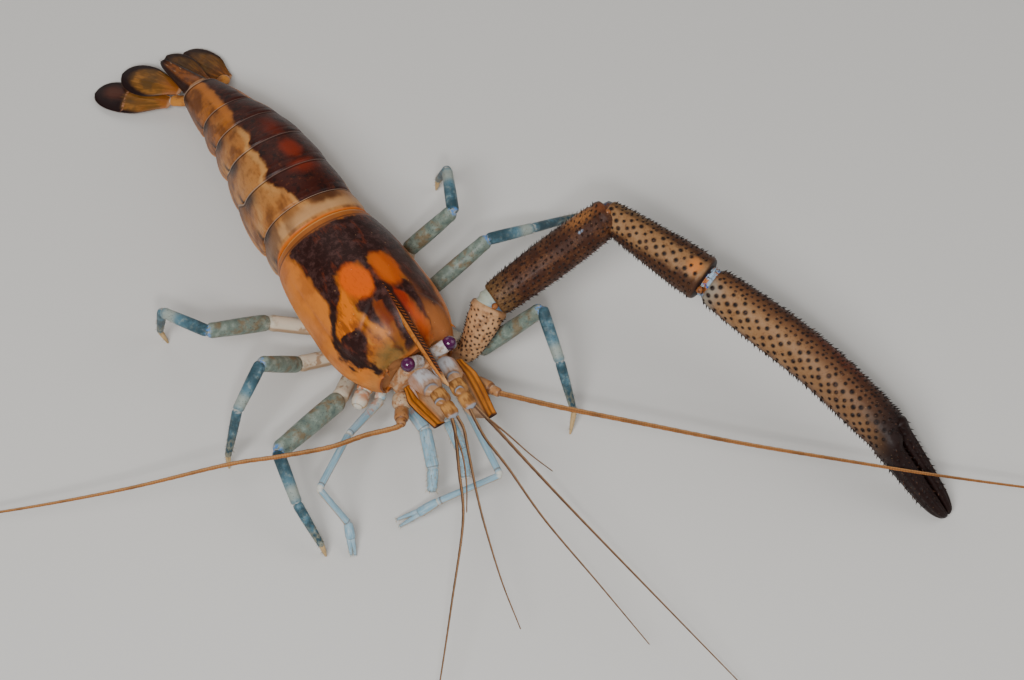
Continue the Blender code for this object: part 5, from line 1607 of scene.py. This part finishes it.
def ring_finish(settings):
    """Abdomen rings: golden tan sides with long soft mottles, a maroon saddle and hairline margins."""
    f = Finish("ring_shell", settings.cream, 0.42, coat=0.05, through=0.05)
    f.fray(0.34, 1.2)
    share = f.sum("FRACT", f.place)
    cloud = f.noise(0.09, 3, 0.5)
    soft = f.noise(0.15, 3, 0.5, stretch=(1, 0.6, 1))
    grain = f.noise(0.6, 4, 0.6, stretch=(1, 0.5, 1))
    fine = f.noise(1.5, 5, 0.65)
    f.lay(tint(176, 108, 46), f.step(cloud, 0.42, 0.62), 0.6)
    f.lay(tint(156, 90, 34), f.step(f.y, 40, 66), 0.85)
    f.lay(tint(106, 60, 30), f.step(soft, 0.48, 0.64), 0.8)
    f.lay(tint(204, 152, 92), f.both(f.step(soft, 0.46, 0.3), f.step(f.y, 80, 40)), 0.6)
    f.lay(tint(120, 74, 38), f.step(grain, 0.48, 0.7), 0.5)
    f.lay(tint(104, 58, 24), f.both(f.step(f.y, 50, 62), f.step(f.noise(0.2, 3), 0.46, 0.6)), 0.75)
    # Painted shade: the flanks of each ring darken towards its rear margin, where it lies over the next ring.
    f.lay(tint(92, 54, 30), f.both(f.either(f.step(f.turn, 0.26, 0.15), f.step(f.turn, 0.5, 0.61)),
                                   f.step(share, 0.4, 0.95)), 0.75)
    first = f.sum("LESS_THAN", f.place, 1)
    f.lay(tint(190, 144, 98), f.both(first, f.step(share, 0.12, 0.3), f.step(share, 0.86, 0.55)), 0.85)
    f.lay(tint(150, 98, 52), f.both(first, f.step(share, 0.4, 0.8), f.step(soft, 0.32, 0.54)), 0.85)
    f.lay(tint(112, 76, 50), f.both(first, f.step(f.x, -8, -15), f.step(soft, 0.36, 0.56)), 0.8)
    f.lay(tint(80, 42, 20), f.both(first, f.spot(4.2, 9.6, 6.4, 3.4, soft=0.45)), 0.92)
    left = f.curve(f.wavy_y, [(11, -5), (16, -6.2), (22, -8.6), (27, -10), (30, -7.4), (38, -6.6), (44, -7.2),
                              (49, -4.6), (58, -5.6), (66, -3.6), (92, -4.2)])
    right = f.curve(f.wavy_y, [(11, 15), (27, 16), (44, 14.6), (58, 12), (66, 7.6), (78, 4.2), (92, 2.6)])
    saddle = f.both(f.step(f.sum("SUBTRACT", f.wavy_x, left), -0.8, 0.8),
                    f.step(f.sum("SUBTRACT", right, f.wavy_x), -0.8, 0.8), f.step(f.place, 0.985, 1),
                    f.step(f.z, 12, 15))
    edge = f.hill(f.sum("SUBTRACT", f.wavy_x, left), -1.4, 0.9, 0.9)
    f.lay(tint(210, 158, 96), f.both(edge, f.step(f.y, 12, 30), f.step(f.y, 60, 50)), 0.5)
    golden = f.either(f.hill(f.sum("SUBTRACT", f.wavy_x, left), -2.2, 1.5, 0.7),
                      f.hill(f.sum("SUBTRACT", f.wavy_x, right), 1.8, 1.4, 0.7))
    f.lay(tint(190, 112, 42), f.both(golden, f.step(f.y, 56, 66)), 0.8)
    f.lay(settings.maroon, saddle)
    f.lay(tint(30, 12, 9), f.both(saddle, f.step(f.noise(0.3, 5, 0.62), 0.46, 0.64)), 0.9)
    f.lay(tint(104, 50, 24), f.both(saddle, f.step(f.noise(0.5, 5, 0.7), 0.54, 0.7)), 0.6)
    red = f.either(f.faint(f.spot(4.2, 24.4, 4.4, 3.2, soft=0.8), 0.8), f.spot(4.2, 34, 3.4, 4.8, soft=0.5),
                   f.faint(f.spot(3.6, 48, 3, 5, soft=0.9), 0.5))
    f.lay(settings.red, red, 0.8)
    hinge = f.either(f.both(f.either(f.hill(f.turn, 0.165, 0.038, 0.9), f.hill(f.turn, 0.595, 0.038, 0.9)),
                            f.step(share, 0.62, 0.9)),
                     f.both(f.either(f.hill(f.turn, 0.12, 0.012, 0.8), f.hill(f.turn, 0.64, 0.012, 0.8)),
                            f.step(share, 0.5, 0.1)))
    f.lay(tint(44, 26, 20), hinge, 0.9)
    edges = f.either(f.step(f.turn, 0.022, 0.008),
                     f.both(f.step(f.turn, 0.738, 0.752), f.step(f.turn, 0.8, 0.78)))
    f.lay(tint(214, 140, 70), edges)
    f.lay(tint(112, 60, 28), f.either(f.hill(f.turn, 0.045, 0.006), f.hill(f.turn, 0.715, 0.006)), 0.7)
    f.lay(tint(44, 24, 18), f.hill(share, 0.958, 0.012), 0.8)
    f.lay(tint(176, 156, 138), f.step(share, 0.974, 0.982), 0.7)
    f.lay(tint(84, 52, 46), f.both(saddle, f.step(share, 0.97, 0.98)), 0.8)
    f.lay(tint(206, 104, 24), f.both(first, f.step(share, 0.12, 0.06)), 0.9)
    f.press(fine, 0.07)
    f.press(f.noise(4, 3), 0.02)
    return f.done()


def telson_finish():
    """Orange brown streak along the middle between dark edges."""
    f = Finish("telson_shell", tint(140, 76, 24), 0.42, coat=0.05, through=0.05)
    f.fray(0.4, 0.8, (1, 0.4, 1))
    f.lay(tint(96, 50, 20), f.step(f.noise(0.5, 4, stretch=(1, 0.4, 1)), 0.46, 0.62), 0.8)
    f.lay(tint(46, 21, 13), f.either(f.step(f.turn, 0.21, 0.15), f.step(f.turn, 0.32, 0.38)))
    f.lay(tint(176, 136, 100), f.step(f.place, 0.05, 0.02), 0.8)
    f.lay(tint(34, 16, 14), f.step(f.place, 0.7, 0.96))
    f.press(f.noise(1.8, 4), 0.1)
    return f.done()


def fan_finish(settings):
    """Olive blades with fine ribs and broad, soft dark margins."""
    f = Finish("fan_blade", settings.fan, 0.42, coat=0.05, through=0.05)
    f.fray(0.4, 0.8)
    streaks = f.noise(2, 4, 0.6, where=f.chart, stretch=(12, 1.6, 1))
    cloud = f.noise(0.16, 3, 0.5)
    f.lay(tint(158, 104, 44), f.step(streaks, 0.44, 0.64), 0.7)
    f.lay(tint(86, 60, 28), f.step(cloud, 0.46, 0.62), 0.8)
    f.lay(tint(164, 92, 34), f.both(f.step(f.place, 0.46, 0.15), f.step(cloud, 0.34, 0.52)), 0.7)
    across = f.sum("POWER", f.sum("ABSOLUTE", f.sum("COSINE", f.sum("MULTIPLY", f.turn, 2 * math.pi))), 3)
    side = f.sum("MULTIPLY", across, f.sum("ADD", f.sum("MULTIPLY", f.place, 0.62), 0.34))
    rim = f.sum("ADD", side, f.sum("MULTIPLY", f.sum("POWER", f.place, 3.4), 0.95))
    rim = f.sum("ADD", rim, f.sum("MULTIPLY", f.noise(0.4, 4), 0.2))
    f.lay(settings.fan_dark, f.step(rim, 0.42, 0.8))
    f.lay(tint(58, 34, 16), f.both(f.step(f.x, -8, -6), f.step(streaks, 0.4, 0.56)), 0.7)
    far = f.both(f.step(f.x, -22, -24), f.step(f.z, 3.6, 3.2))
    f.lay(settings.fan_dark, f.both(far, f.step(f.place, 0.56, 0.64)))
    f.lay(tint(84, 42, 28), f.both(far, f.spot(-31, 114.6, 3, 4, 40, soft=0.6)), 0.8)
    f.lay(tint(190, 134, 104), f.both(far, f.hill(f.place, 0.585, 0.014), f.step(f.noise(1.2), 0.46, 0.56)),
          0.7)
    f.lay(tint(140, 92, 72), f.both(far, f.step(f.place, 0.56, 0.4), f.step(f.turn, 0.14, 0.05)), 0.7)
    f.lay(tint(186, 142, 108), f.step(f.place, 0.06, 0.02), 0.8)
    f.press(streaks, 0.08)
    f.press(f.noise(3), 0.04)
    return f.done()


def stem_finish(name):
    """Orange yellow stems of the fan with white rims."""
    f = Finish(name + "_stem", tint(196, 128, 56), 0.42, coat=0.05)
    f.lay(tint(136, 80, 36), f.step(f.noise(0.35, 4), 0.44, 0.62), 0.8)
    f.lay(tint(226, 208, 196), f.either(f.step(f.place, 0.14, 0.06), f.step(f.place, 0.88, 0.96)))
    f.press(f.noise(1.6), 0.1)
    return f.done()


def eye_finish(settings):
    """Dark purple cornea with a magenta tone and a fine facet grain."""
    f = Finish("cornea", settings.eye, 0.1, coat=1)
    f.shader.inputs["Coat Roughness"].default_value = 0.04
    f.lay(tint(92, 24, 76), f.step(f.z, 37.6, 40.6), 0.7)
    f.press(f.specks(7, 0.5), 0.002)
    return f.done()


def stalk_finish(settings, name):
    """White grey skin with fine brown flecks; the block between the stalks is tan."""
    f = Finish(name, settings.stalk if name == "eyestalk" else tint(170, 118, 78), 0.38, coat=0.1,
               through=0.05)
    f.lay(tint(190, 160, 130) if name != "eyestalk" else tint(160, 130, 104),
          f.step(f.noise(0.5, 4), 0.42, 0.6), 0.8)
    f.lay(tint(84, 56, 46), f.step(f.noise(1.2, 5, 0.7), 0.58, 0.66), 0.8)
    f.press(f.noise(2), 0.1)
    return f.done()


def feeler_finish(name, colour):
    """Ringed feeler with narrow darker rings and a dark line along it."""
    f = Finish(name, colour, 0.45)
    ring = f.sum("FRACT", f.place)
    dark = tuple(c * 0.35 for c in colour)
    f.lay(dark, f.step(f.noise(0.12, 3), 0.46, 0.64), 0.6)
    f.lay(dark, f.either(f.step(ring, 0.18, 0.05), f.step(ring, 0.9, 1), f.hill(f.turn, 0.16, 0.04)), 0.6)
    f.lay(tint(206, 160, 110), f.hill(f.turn, 0.3, 0.07), 0.4)
    f.press(f.hill(ring, 0.5, 0.34), 0.1)
    return f.done()


def antennule_finish():
    """Antennule stems: white grey first lengths, then tan ones with grey blue crescents on their backs."""
    f = Finish("antennule_stem", tint(158, 108, 58), 0.38, coat=0.1, through=0.05)
    f.fray(0.8, 0.4)
    share = f.sum("FRACT", f.place)
    later = f.sum("GREATER_THAN", f.place, 1)
    first = f.sum("SUBTRACT", 1, later)
    fan = f.noise(0.8, 3, 0.5, stretch=(1, 0.3, 1))
    white = f.step(f.sum("ADD", f.place, f.sum("MULTIPLY", fan, 0.5)), 1.1, 0.62)
    f.lay(tint(172, 132, 98), first)
    f.lay(tint(200, 200, 204), f.both(first, white), 0.95)
    f.lay(tint(132, 92, 62), f.both(first, f.step(fan, 0.46, 0.7)), 0.5)
    outer = f.step(f.sum("ABSOLUTE", f.sum("SUBTRACT", f.x, 3.1)), 6.4, 7.8)
    f.lay(tint(164, 104, 54), f.both(first, outer), 0.7)
    f.lay(tint(104, 64, 34), f.both(later, f.either(f.step(fan, 0.46, 0.66), f.step(share, 0.75, 1))), 0.7)
    f.lay(tint(196, 142, 80), f.both(later, f.hill(share, 0.45, 0.2), f.step(fan, 0.56, 0.4)), 0.7)
    for x, y, wide, long in ((-1.9, -75.2, 2.3, 1.5), (7, -74.8, 2, 1.5), (-2.2, -81, 1.7, 1.2),
                             (6, -80.6, 1.4, 1.2)):
        back = f.sum("SUBTRACT", 1, f.spot(x, y - 0.9, wide + 0.3, long + 0.3, soft=0.15))
        f.lay(tint(58, 44, 40), f.both(f.spot(x, y, wide + 0.5, long + 0.5), back), 0.8)
        f.lay(tint(146, 152, 162), f.both(f.spot(x, y, wide, long), back), 0.9)
    f.lay(tint(150, 158, 168), f.step(f.place, 2.8, 2.9), 0.8)
    f.press(fan, 0.1)
    return f.done()


def peduncle_finish(settings, name):
    """Stems of the antennae: whitish tan with brown edges and orange brown ends."""
    f = Finish(name, tint(196, 168, 136), 0.38, coat=0.1, through=0.05)
    f.fray(0.8, 0.5)
    share = f.sum("FRACT", f.place)
    f.lay(tint(164, 106, 62), f.step(f.noise(0.45, 4), 0.44, 0.6), 0.7)
    f.lay(settings.feeler, f.step(f.place, 1.1, 1.5), 0.8)
    f.lay(tint(84, 46, 26), f.either(f.hill(share, 0.9, 0.04), f.step(f.noise(0.8, 5), 0.56, 0.66)), 0.7)
    f.press(f.noise(1.8), 0.1)
    return f.done()


def scale_finish(settings):
    """Antennal scale: tan orange outer ribs between soft dark lines and a pale, fine lined inner blade."""
    f = Finish("antennal_scale", settings.scale, 0.4, coat=0.08, through=0.05)
    streaks = f.noise(2, 4, 0.6, where=f.chart, stretch=(12, 1.2, 1))
    side = f.sum("SIGN", f.sum("SUBTRACT", 3.1, f.x))
    out = f.sum("MULTIPLY", f.sum("COSINE", f.sum("MULTIPLY", f.turn, 2 * math.pi)), side)
    f.lay(tint(140, 78, 30), f.step(streaks, 0.46, 0.62), 0.7)
    blade_side = f.step(out, 0.3, -0.05)
    f.lay(tint(186, 154, 124), f.both(blade_side, f.step(f.place, 0.12, 0.5)), 0.85)
    f.lay(tint(150, 108, 74), f.both(blade_side, f.step(streaks, 0.5, 0.62)), 0.8)
    f.lay(tint(128, 100, 78), f.both(f.step(f.place, 0.86, 0.95), f.step(out, 0.4, 0.1)), 0.8)
    f.lay(tint(92, 50, 24), f.either(f.hill(out, 0.64, 0.06, 0.9), f.hill(out, 0.3, 0.07, 0.9)), 0.75)
    f.lay(tint(52, 26, 15), f.either(f.step(out, 0.93, 0.98),
                                     f.both(f.step(f.place, 0.95, 0.99), f.step(out, 0.3, 0.6))))
    f.press(streaks, 0.1)
    return f.done()


def hair_finish(name, colour):
    """Hairs with a slight change of shade."""
    f = Finish(name, colour, 0.5)
    f.lay(tuple(c * 0.45 for c in colour), f.step(f.noise(0.8, 2), 0.4, 0.62))
    return f.done()


def leg_finish(settings):
    """Walking leg: whitish tan base, grey teal lengths with dots and cross lines, dark bands lower down."""
    f = Finish("walking_leg", settings.teal, 0.42, coat=0.05, through=0.05)
    f.fray(0.6, 0.7)
    share = f.sum("FRACT", f.place)
    cross = f.noise(3, 4, 0.6, where=f.chart, stretch=(2.2, 3.2, 1))
    cloud = f.noise(0.22, 4, 0.6)
    f.lay(tint(146, 158, 146), f.step(cross, 0.46, 0.64), 0.7)
    f.lay(tint(74, 94, 92), f.step(cross, 0.46, 0.32), 0.6)
    f.lay(tint(124, 98, 62), f.both(f.step(cloud, 0.46, 0.62), f.step(f.place, 3, 2.8)), 0.7)
    base = f.step(f.sum("ADD", f.place, f.sum("MULTIPLY", cloud, 0.6)), 2.44, 2.06)
    f.lay(settings.ivory, base)
    f.lay(tint(150, 104, 56), f.both(base, f.either(f.step(cloud, 0.52, 0.64), f.hill(f.turn, 0, 0.06),
                                                    f.hill(f.turn, 0.5, 0.06))), 0.7)
    lower = f.step(f.place, 2.98, 3.02)
    f.lay(tint(82, 124, 144), lower, 0.8)
    f.lay(tint(148, 164, 162), f.both(lower, f.step(cross, 0.5, 0.66)), 0.7)
    band = f.either(f.step(f.place, 3.66, 3.3), f.step(f.place, 3.96, 4.12))
    f.lay(settings.navy, f.both(lower, band, f.step(cloud, 0.3, 0.56)), 0.8)
    f.lay(tint(170, 174, 160), f.hill(f.place, 3.8, 0.12, 0.7), 0.7)
    f.lay(tint(150, 146, 124), f.both(f.step(f.place, 4.4, 4.9), f.step(cross, 0.4, 0.6)), 0.8)
    f.lay(tint(196, 164, 116), f.step(f.place, 4.92, 5.1))
    f.lay(tint(190, 186, 176), f.both(f.either(f.step(share, 0.05, 0.01), f.step(share, 0.95, 0.98)),
                                      f.step(f.place, 5, 4.9), f.step(f.noise(0.7), 0.4, 0.54)), 0.8)
    f.lay(settings.joint, f.both(f.hill(f.place, 3, 0.05), f.step(f.noise(0.9), 0.46, 0.58)), 0.9)
    f.lay(tint(30, 42, 46), f.both(f.specks(1.3, 0.24), f.step(f.place, 1.8, 2.2)), 0.7)
    f.press(cross, 0.06)
    f.press(f.specks(1.3, 0.3), 0.05)
    return f.done()


def pale_limb_finish(settings, name):
    """Pale blue limbs with yellow edges and fine lines; the stump is cream with an orange patch."""
    stump = name == "stump"
    f = Finish(name, settings.ivory if stump else settings.sky, 0.4, coat=0.05, through=0.05)
    f.fray(0.6, 0.7)
    share = f.sum("FRACT", f.place)
    lines = f.noise(3, 4, 0.6, where=f.chart, stretch=(6, 0.8, 1))
    cloud = f.noise(0.4, 4)
    f.lay(tint(196, 206, 208), f.step(lines, 0.48, 0.64), 0.6)
    f.lay(tint(92, 124, 140), f.step(lines, 0.43, 0.32), 0.1 if stump else 0.5)
    f.lay(tint(220, 212, 196), f.both(f.step(f.place, 1.6, 1), f.step(cloud, 0.34, 0.5)), 0.9)
    f.lay(tint(196, 110, 50), f.both(f.step(f.place, 1.9, 1.3), f.step(cloud, 0.4 if stump else 0.52, 0.6)),
          0.9 if stump else 0.5)
    f.lay(tint(196, 148, 78), f.either(f.step(f.turn, 0.05, 0.012), f.hill(f.turn, 0.5, 0.03),
                                       f.step(f.turn, 0.95, 0.988)), 0.8)
    f.lay(tint(214, 208, 194), f.either(f.step(share, 0.07, 0.02), f.step(share, 0.93, 0.97)), 0.8)
    f.lay(tint(110, 84, 60), f.hill(share, 0.915, 0.012), 0.6)
    f.press(lines, 0.08)
    return f.done()


def claw_finish(settings, name):
    """Claw shell: tan strip, dark far side of painted shade, dark dots round the spines, fine grain."""
    # The merus takes the brown of painted shade as its base colour.
    base = {"claw_ischium": settings.ischium, "claw_merus": settings.brown,
            "claw_finger": settings.finger}.get(name, settings.palm)
    f = Finish(name + "_shell", base, 0.48, coat=0.03)
    f.fray(0.3, 1.5)
    cloud = f.noise(0.2, 5, 0.62)
    fine = f.noise(1.4, 5, 0.66)
    if name in ("claw_palm", "claw_carpus"):
        f.lay(tint(160, 124, 88), f.both(f.step(cloud, 0.46, 0.6), f.step(fine, 0.4, 0.6)), 0.7)
        f.lay(tint(116, 76, 46), f.both(f.step(cloud, 0.52, 0.42), f.step(fine, 0.5, 0.4)), 0.7)
    turn = f.sum("SUBTRACT", f.sum("FRACT", f.sum("ADD", f.turn, 0.3)), 0.3)
    turn = f.sum("ADD", turn, f.sum("MULTIPLY", f.sum("SUBTRACT", cloud, 0.5), 0.14))
    if name == "claw_palm":
        f.lay(tint(106, 74, 52), f.step(f.place, 0.25, 0.75), 0.5)
        high = f.sum("ADD", turn, f.sum("MULTIPLY", f.place, 0.06))
        # Painted shade: a brown band, then dark brown round the palm, all but a tan strip towards the light.
        f.lay(tint(100, 62, 38), f.step(high, 0.2, 0.28), 0.8)
        f.lay(settings.brown, f.either(f.step(high, 0.27, 0.36), f.step(turn, 0.03, -0.06)), 0.9)
        f.lay(tint(112, 48, 26), f.both(f.hill(turn, 0.36, 0.05, 0.8), f.hill(f.y, -137, 10),
                                        f.step(fine, 0.4, 0.6)), 0.7)
        f.lay(tint(146, 146, 136), f.both(f.step(f.place, 0.1, 0.02), f.step(turn, 0.25, 0.15)), 0.7)
        f.lay(settings.finger, f.both(f.step(f.y, -148, -166), f.step(turn, 0.08, 0.18)), 0.9)
        f.lay(settings.finger, f.step(f.y, -158, -174))
    if name == "claw_carpus":
        lower = f.sum("SUBTRACT", turn, f.sum("MULTIPLY", f.place, 0.12))
        # Painted shade: dark brown round the carpus, all but a tan strip towards the light.
        f.lay(settings.brown, f.either(f.step(lower, 0.08, -0.01), f.step(turn, 0.24, 0.32)), 0.92)
        f.lay(tint(128, 98, 64), f.both(f.hill(turn, 0.36, 0.06, 0.8), f.step(f.place, 0.6, 0.2)), 0.7)
        f.lay(tint(206, 124, 58), f.both(f.hill(f.place, 0.88, 0.06, 0.8),
                                         f.spot(97.6, -85, 2.6, 3.6, 20, soft=0.5)), 0.9)
        f.lay(settings.finger, f.step(f.place, 0.95, 0.98))
    if name == "claw_merus":
        f.lay(tint(106, 66, 38), f.both(f.step(cloud, 0.44, 0.58), f.step(fine, 0.35, 0.6)), 0.7)
        f.lay(tint(124, 94, 58), f.both(f.step(f.place, 0.22, 0.05), f.step(fine, 0.3, 0.6)), 0.7)
        f.lay(tint(172, 112, 60), f.both(f.spot(75, -47.6, 5.6, 3.4, soft=0.6), f.step(fine, 0.3, 0.55)),
              0.85)
        f.lay(tint(140, 160, 180), f.both(f.spot(72, -53, 0.9, 0.5, soft=0.6), f.step(fine, 0.4, 0.5)))
        f.lay(tint(122, 66, 36), f.both(f.hill(f.turn, 0.3, 0.05, 0.9), f.step(f.place, 0.88, 0.97)), 0.8)
        f.lay(tint(134, 62, 34), f.hill(f.turn, 0.955, 0.012), 0.7)
    if name == "claw_ischium":
        f.lay(tint(206, 182, 156), f.step(f.place, 0.5, 0.3), 0.9)
        f.lay(tint(126, 84, 52), f.step(cloud, 0.5, 0.64), 0.7)
        # Painted shade: dark brown over the ischium's far side.
        f.lay(settings.brown, f.both(f.step(f.turn, 0.26, 0.36), f.step(f.turn, 0.9, 0.8)), 0.8)
    f.lay(tint(206, 166, 118), f.both(f.specks(0.6, 0.14), f.step(fine, 0.4, 0.6)), 0.25)
    dots = f.node("ShaderNodeAttribute", attribute_name="Dots", attribute_type="GEOMETRY").outputs["Fac"]
    f.lay(settings.dot, dots, 0.94)
    f.press(dots, 0.2)
    f.press(fine, 0.16)
    f.press(f.noise(4, 3), 0.04)
    return f.done()


def spine_finish(settings):
    """Near black spines with brown roots."""
    f = Finish("claw_spine", settings.dot, 0.4)
    f.lay(tint(84, 54, 40), f.step(f.noise(0.7, 3), 0.52, 0.66))
    return f.done()


def membrane_finish(settings):
    """Joint skin in white, blue, dark and orange patches with fine folds."""
    f = Finish("joint_skin", settings.membrane, 0.36, coat=0.1, through=0.05)
    f.lay(tint(190, 116, 58), f.step(f.noise(0.34, 4), 0.5, 0.57))
    f.lay(tint(46, 104, 206), f.step(f.noise(0.44, 4, stretch=(1, 1, 1.6)), 0.56, 0.62))
    f.lay(tint(58, 38, 30), f.step(f.noise(0.6, 4), 0.54, 0.62))
    f.lay(tint(58, 36, 26), f.both(f.step(f.x, 74, 78), f.step(f.x, 94, 90)), 0.85)
    first = f.step(f.x, 50, 45)
    f.lay(tint(176, 184, 168), first)
    f.lay(tint(96, 140, 190), f.both(first, f.step(f.y, -53, -56)), 0.7)
    f.press(f.noise(2, 4), 0.25)
    return f.done()


def knob_finish(settings):
    """Brown tan hinge knobs."""
    f = Finish("hinge_knob", settings.knob, 0.4, coat=0.1)
    f.lay(tint(84, 46, 28), f.step(f.noise(0.8, 4), 0.46, 0.62))
    f.press(f.noise(2), 0.1)
    return f.done()


# Stage

def soft_light(name, place, aim, size, power, colour=(1, 1, 1)):
    """A square soft light."""
    data = bpy.data.lights.new(name, "AREA")
    data.size = size
    data.energy = power
    data.color = colour
    lamp = bpy.data.objects.new(name, data)
    lamp.location = Vector(place)
    lamp.rotation_euler = (Vector(aim) - Vector(place)).to_track_quat("-Z", "Y").to_euler()
    bpy.context.scene.collection.objects.link(lamp)


def make_stage(settings):
    """Pale floor, soft studio light and the camera."""
    bm = bmesh.new()
    bmesh.ops.create_grid(bm, x_segments=8, y_segments=8, size=2.5)
    mesh = bpy.data.meshes.new("floor")
    bm.to_mesh(mesh)
    bm.free()
    floor = bpy.data.objects.new("floor", mesh)
    bpy.context.scene.collection.objects.link(floor)
    material = bpy.data.materials.new("pale_floor")
    material.use_nodes = True
    nodes = material.node_tree.nodes
    grain = nodes.new("ShaderNodeTexNoise")
    grain.inputs["Scale"].default_value = 40
    ramp = nodes.new("ShaderNodeMapRange")
    ramp.inputs["To Min"].default_value = 0.55
    ramp.inputs["To Max"].default_value = 0.65
    material.node_tree.links.new(grain.outputs[0], ramp.inputs["Value"])
    material.node_tree.links.new(ramp.outputs[0], nodes["Principled BSDF"].inputs["Roughness"])
    nodes["Principled BSDF"].inputs["Base Color"].default_value = (*settings.floor, 1)
    mesh.materials.append(material)
    middle = Vector((0.02, 0, 0.02))
    soft_light("key_light", (-0.55, -0.35, 0.95), middle, 0.5, settings.light)
    soft_light("fill_light", (0.75, -0.35, 0.7), middle, 0.8, settings.light * 0.3)
    soft_light("back_light", (0.1, 0.9, 0.6), middle, 0.7, settings.light * 0.16, (1, 0.97, 0.93))
    soft_light("eye_light", (-0.24, -0.5, 0.72), middle, 0.08, settings.light * 0.2)
    world = bpy.context.scene.world or bpy.data.worlds.new("studio")
    bpy.context.scene.world = world
    world.use_nodes = True
    world.node_tree.nodes["Background"].inputs["Color"].default_value = (1, 0.98, 0.95, 1)
    world.node_tree.nodes["Background"].inputs["Strength"].default_value = 0.16
    data = bpy.data.cameras.new("camera")
    data.sensor_width = 36
    data.angle = CAMERA_ANGLE
    data.clip_start = 0.01
    camera = bpy.data.objects.new("camera", data)
    camera.location = at(CAMERA_PLACE)
    camera.rotation_euler = (at(CAMERA_AIM) - at(CAMERA_PLACE)).to_track_quat("-Z", "Y").to_euler()
    bpy.context.scene.collection.objects.link(camera)
    bpy.context.scene.camera = camera


# Operators

class SHRIMP_OT_carapace(bpy.types.Operator):
    """Make the carapace, the rostrum and the under body"""
    bl_idname = "shrimp.carapace"
    bl_label = "Carapace"

    def execute(self, context):
        make_carapace(context.scene.shrimp_shell)
        make_rostrum(context.scene.shrimp_shell)
        make_under_body(context.scene.shrimp_feelers)
        return {"FINISHED"}


class SHRIMP_OT_abdomen(bpy.types.Operator):
    """Make the six rings and the swimming legs"""
    bl_idname = "shrimp.abdomen"
    bl_label = "Abdomen"

    def execute(self, context):
        make_rings(context.scene.shrimp_shell)
        make_swimming_legs(context.scene.shrimp_legs)
        return {"FINISHED"}


class SHRIMP_OT_tail_fan(bpy.types.Operator):
    """Make the telson and the side blades of the tail fan"""
    bl_idname = "shrimp.tail_fan"
    bl_label = "Tail Fan"

    def execute(self, context):
        make_tail_fan(context.scene.shrimp_shell)
        return {"FINISHED"}


class SHRIMP_OT_eyes(bpy.types.Operator):
    """Make the eyes and their stalks"""
    bl_idname = "shrimp.eyes"
    bl_label = "Eyes"

    def execute(self, context):
        make_eyes(context.scene.shrimp_feelers)
        return {"FINISHED"}


class SHRIMP_OT_feelers(bpy.types.Operator):
    """Make the antennules, the antennae and the antennal scales"""
    bl_idname = "shrimp.feelers"
    bl_label = "Feelers"

    def execute(self, context):
        make_antennules(context.scene.shrimp_feelers)
        make_antennae(context.scene.shrimp_feelers)
        return {"FINISHED"}


class SHRIMP_OT_legs(bpy.types.Operator):
    """Make the first legs, the maxillipeds, the walking legs and the stump"""
    bl_idname = "shrimp.legs"
    bl_label = "Legs"

    def execute(self, context):
        make_first_legs(context.scene.shrimp_legs)
        make_walking_legs(context.scene.shrimp_legs)
        make_stump(context.scene.shrimp_legs)
        return {"FINISHED"}


class SHRIMP_OT_claw(bpy.types.Operator):
    """Make the big claw with its spines"""
    bl_idname = "shrimp.claw"
    bl_label = "Big Claw"

    def execute(self, context):
        make_claw(context.scene.shrimp_claw)
        return {"FINISHED"}


class SHRIMP_OT_stage(bpy.types.Operator):
    """Make the floor, the lights and the camera"""
    bl_idname = "shrimp.stage"
    bl_label = "Stage"

    def execute(self, context):
        make_stage(context.scene.shrimp_stage)
        return {"FINISHED"}


class SHRIMP_PT_panel(bpy.types.Panel):
    """Settings and pieces of the shrimp"""
    bl_idname = "SHRIMP_PT_panel"
    bl_label = "Bigclaw River Shrimp"
    bl_space_type = "VIEW_3D"
    bl_region_type = "UI"
    bl_category = "Shrimp"

    def draw(self, context):
        for name, operators in PANEL_ROWS.items():
            box = self.layout.box()
            settings = getattr(context.scene, name)
            for key in settings.__annotations__:
                box.prop(settings, key)
            for operator in operators:
                box.operator(operator.bl_idname)


SETTINGS = {
    "shrimp_shell": ShellSettings,
    "shrimp_feelers": FeelerSettings,
    "shrimp_legs": LegSettings,
    "shrimp_claw": ClawSettings,
    "shrimp_stage": StageSettings,
}
PANEL_ROWS = {
    "shrimp_shell": (SHRIMP_OT_carapace, SHRIMP_OT_abdomen, SHRIMP_OT_tail_fan),
    "shrimp_feelers": (SHRIMP_OT_eyes, SHRIMP_OT_feelers),
    "shrimp_legs": (SHRIMP_OT_legs,),
    "shrimp_claw": (SHRIMP_OT_claw,),
    "shrimp_stage": (SHRIMP_OT_stage,),
}
CLASSES = (*SETTINGS.values(), SHRIMP_OT_carapace, SHRIMP_OT_abdomen, SHRIMP_OT_tail_fan, SHRIMP_OT_eyes,
           SHRIMP_OT_feelers, SHRIMP_OT_legs, SHRIMP_OT_claw, SHRIMP_OT_stage, SHRIMP_PT_panel)


def register():
    """Register the classes and hang the settings on the scene."""
    for cls in CLASSES:
        bpy.utils.register_class(cls)
    for name, group in SETTINGS.items():
        setattr(bpy.types.Scene, name, PointerProperty(type=group))


def unregister():
    """Take the settings and the classes away again."""
    for name in SETTINGS:
        delattr(bpy.types.Scene, name)
    for cls in reversed(CLASSES):
        bpy.utils.unregister_class(cls)


def main():
    """Make every piece in order."""
    register()
    bpy.ops.shrimp.carapace()
    bpy.ops.shrimp.abdomen()
    bpy.ops.shrimp.tail_fan()
    bpy.ops.shrimp.eyes()
    bpy.ops.shrimp.feelers()
    bpy.ops.shrimp.legs()
    bpy.ops.shrimp.claw()
    bpy.ops.shrimp.stage()
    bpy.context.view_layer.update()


if __name__ == "__main__":
    main()
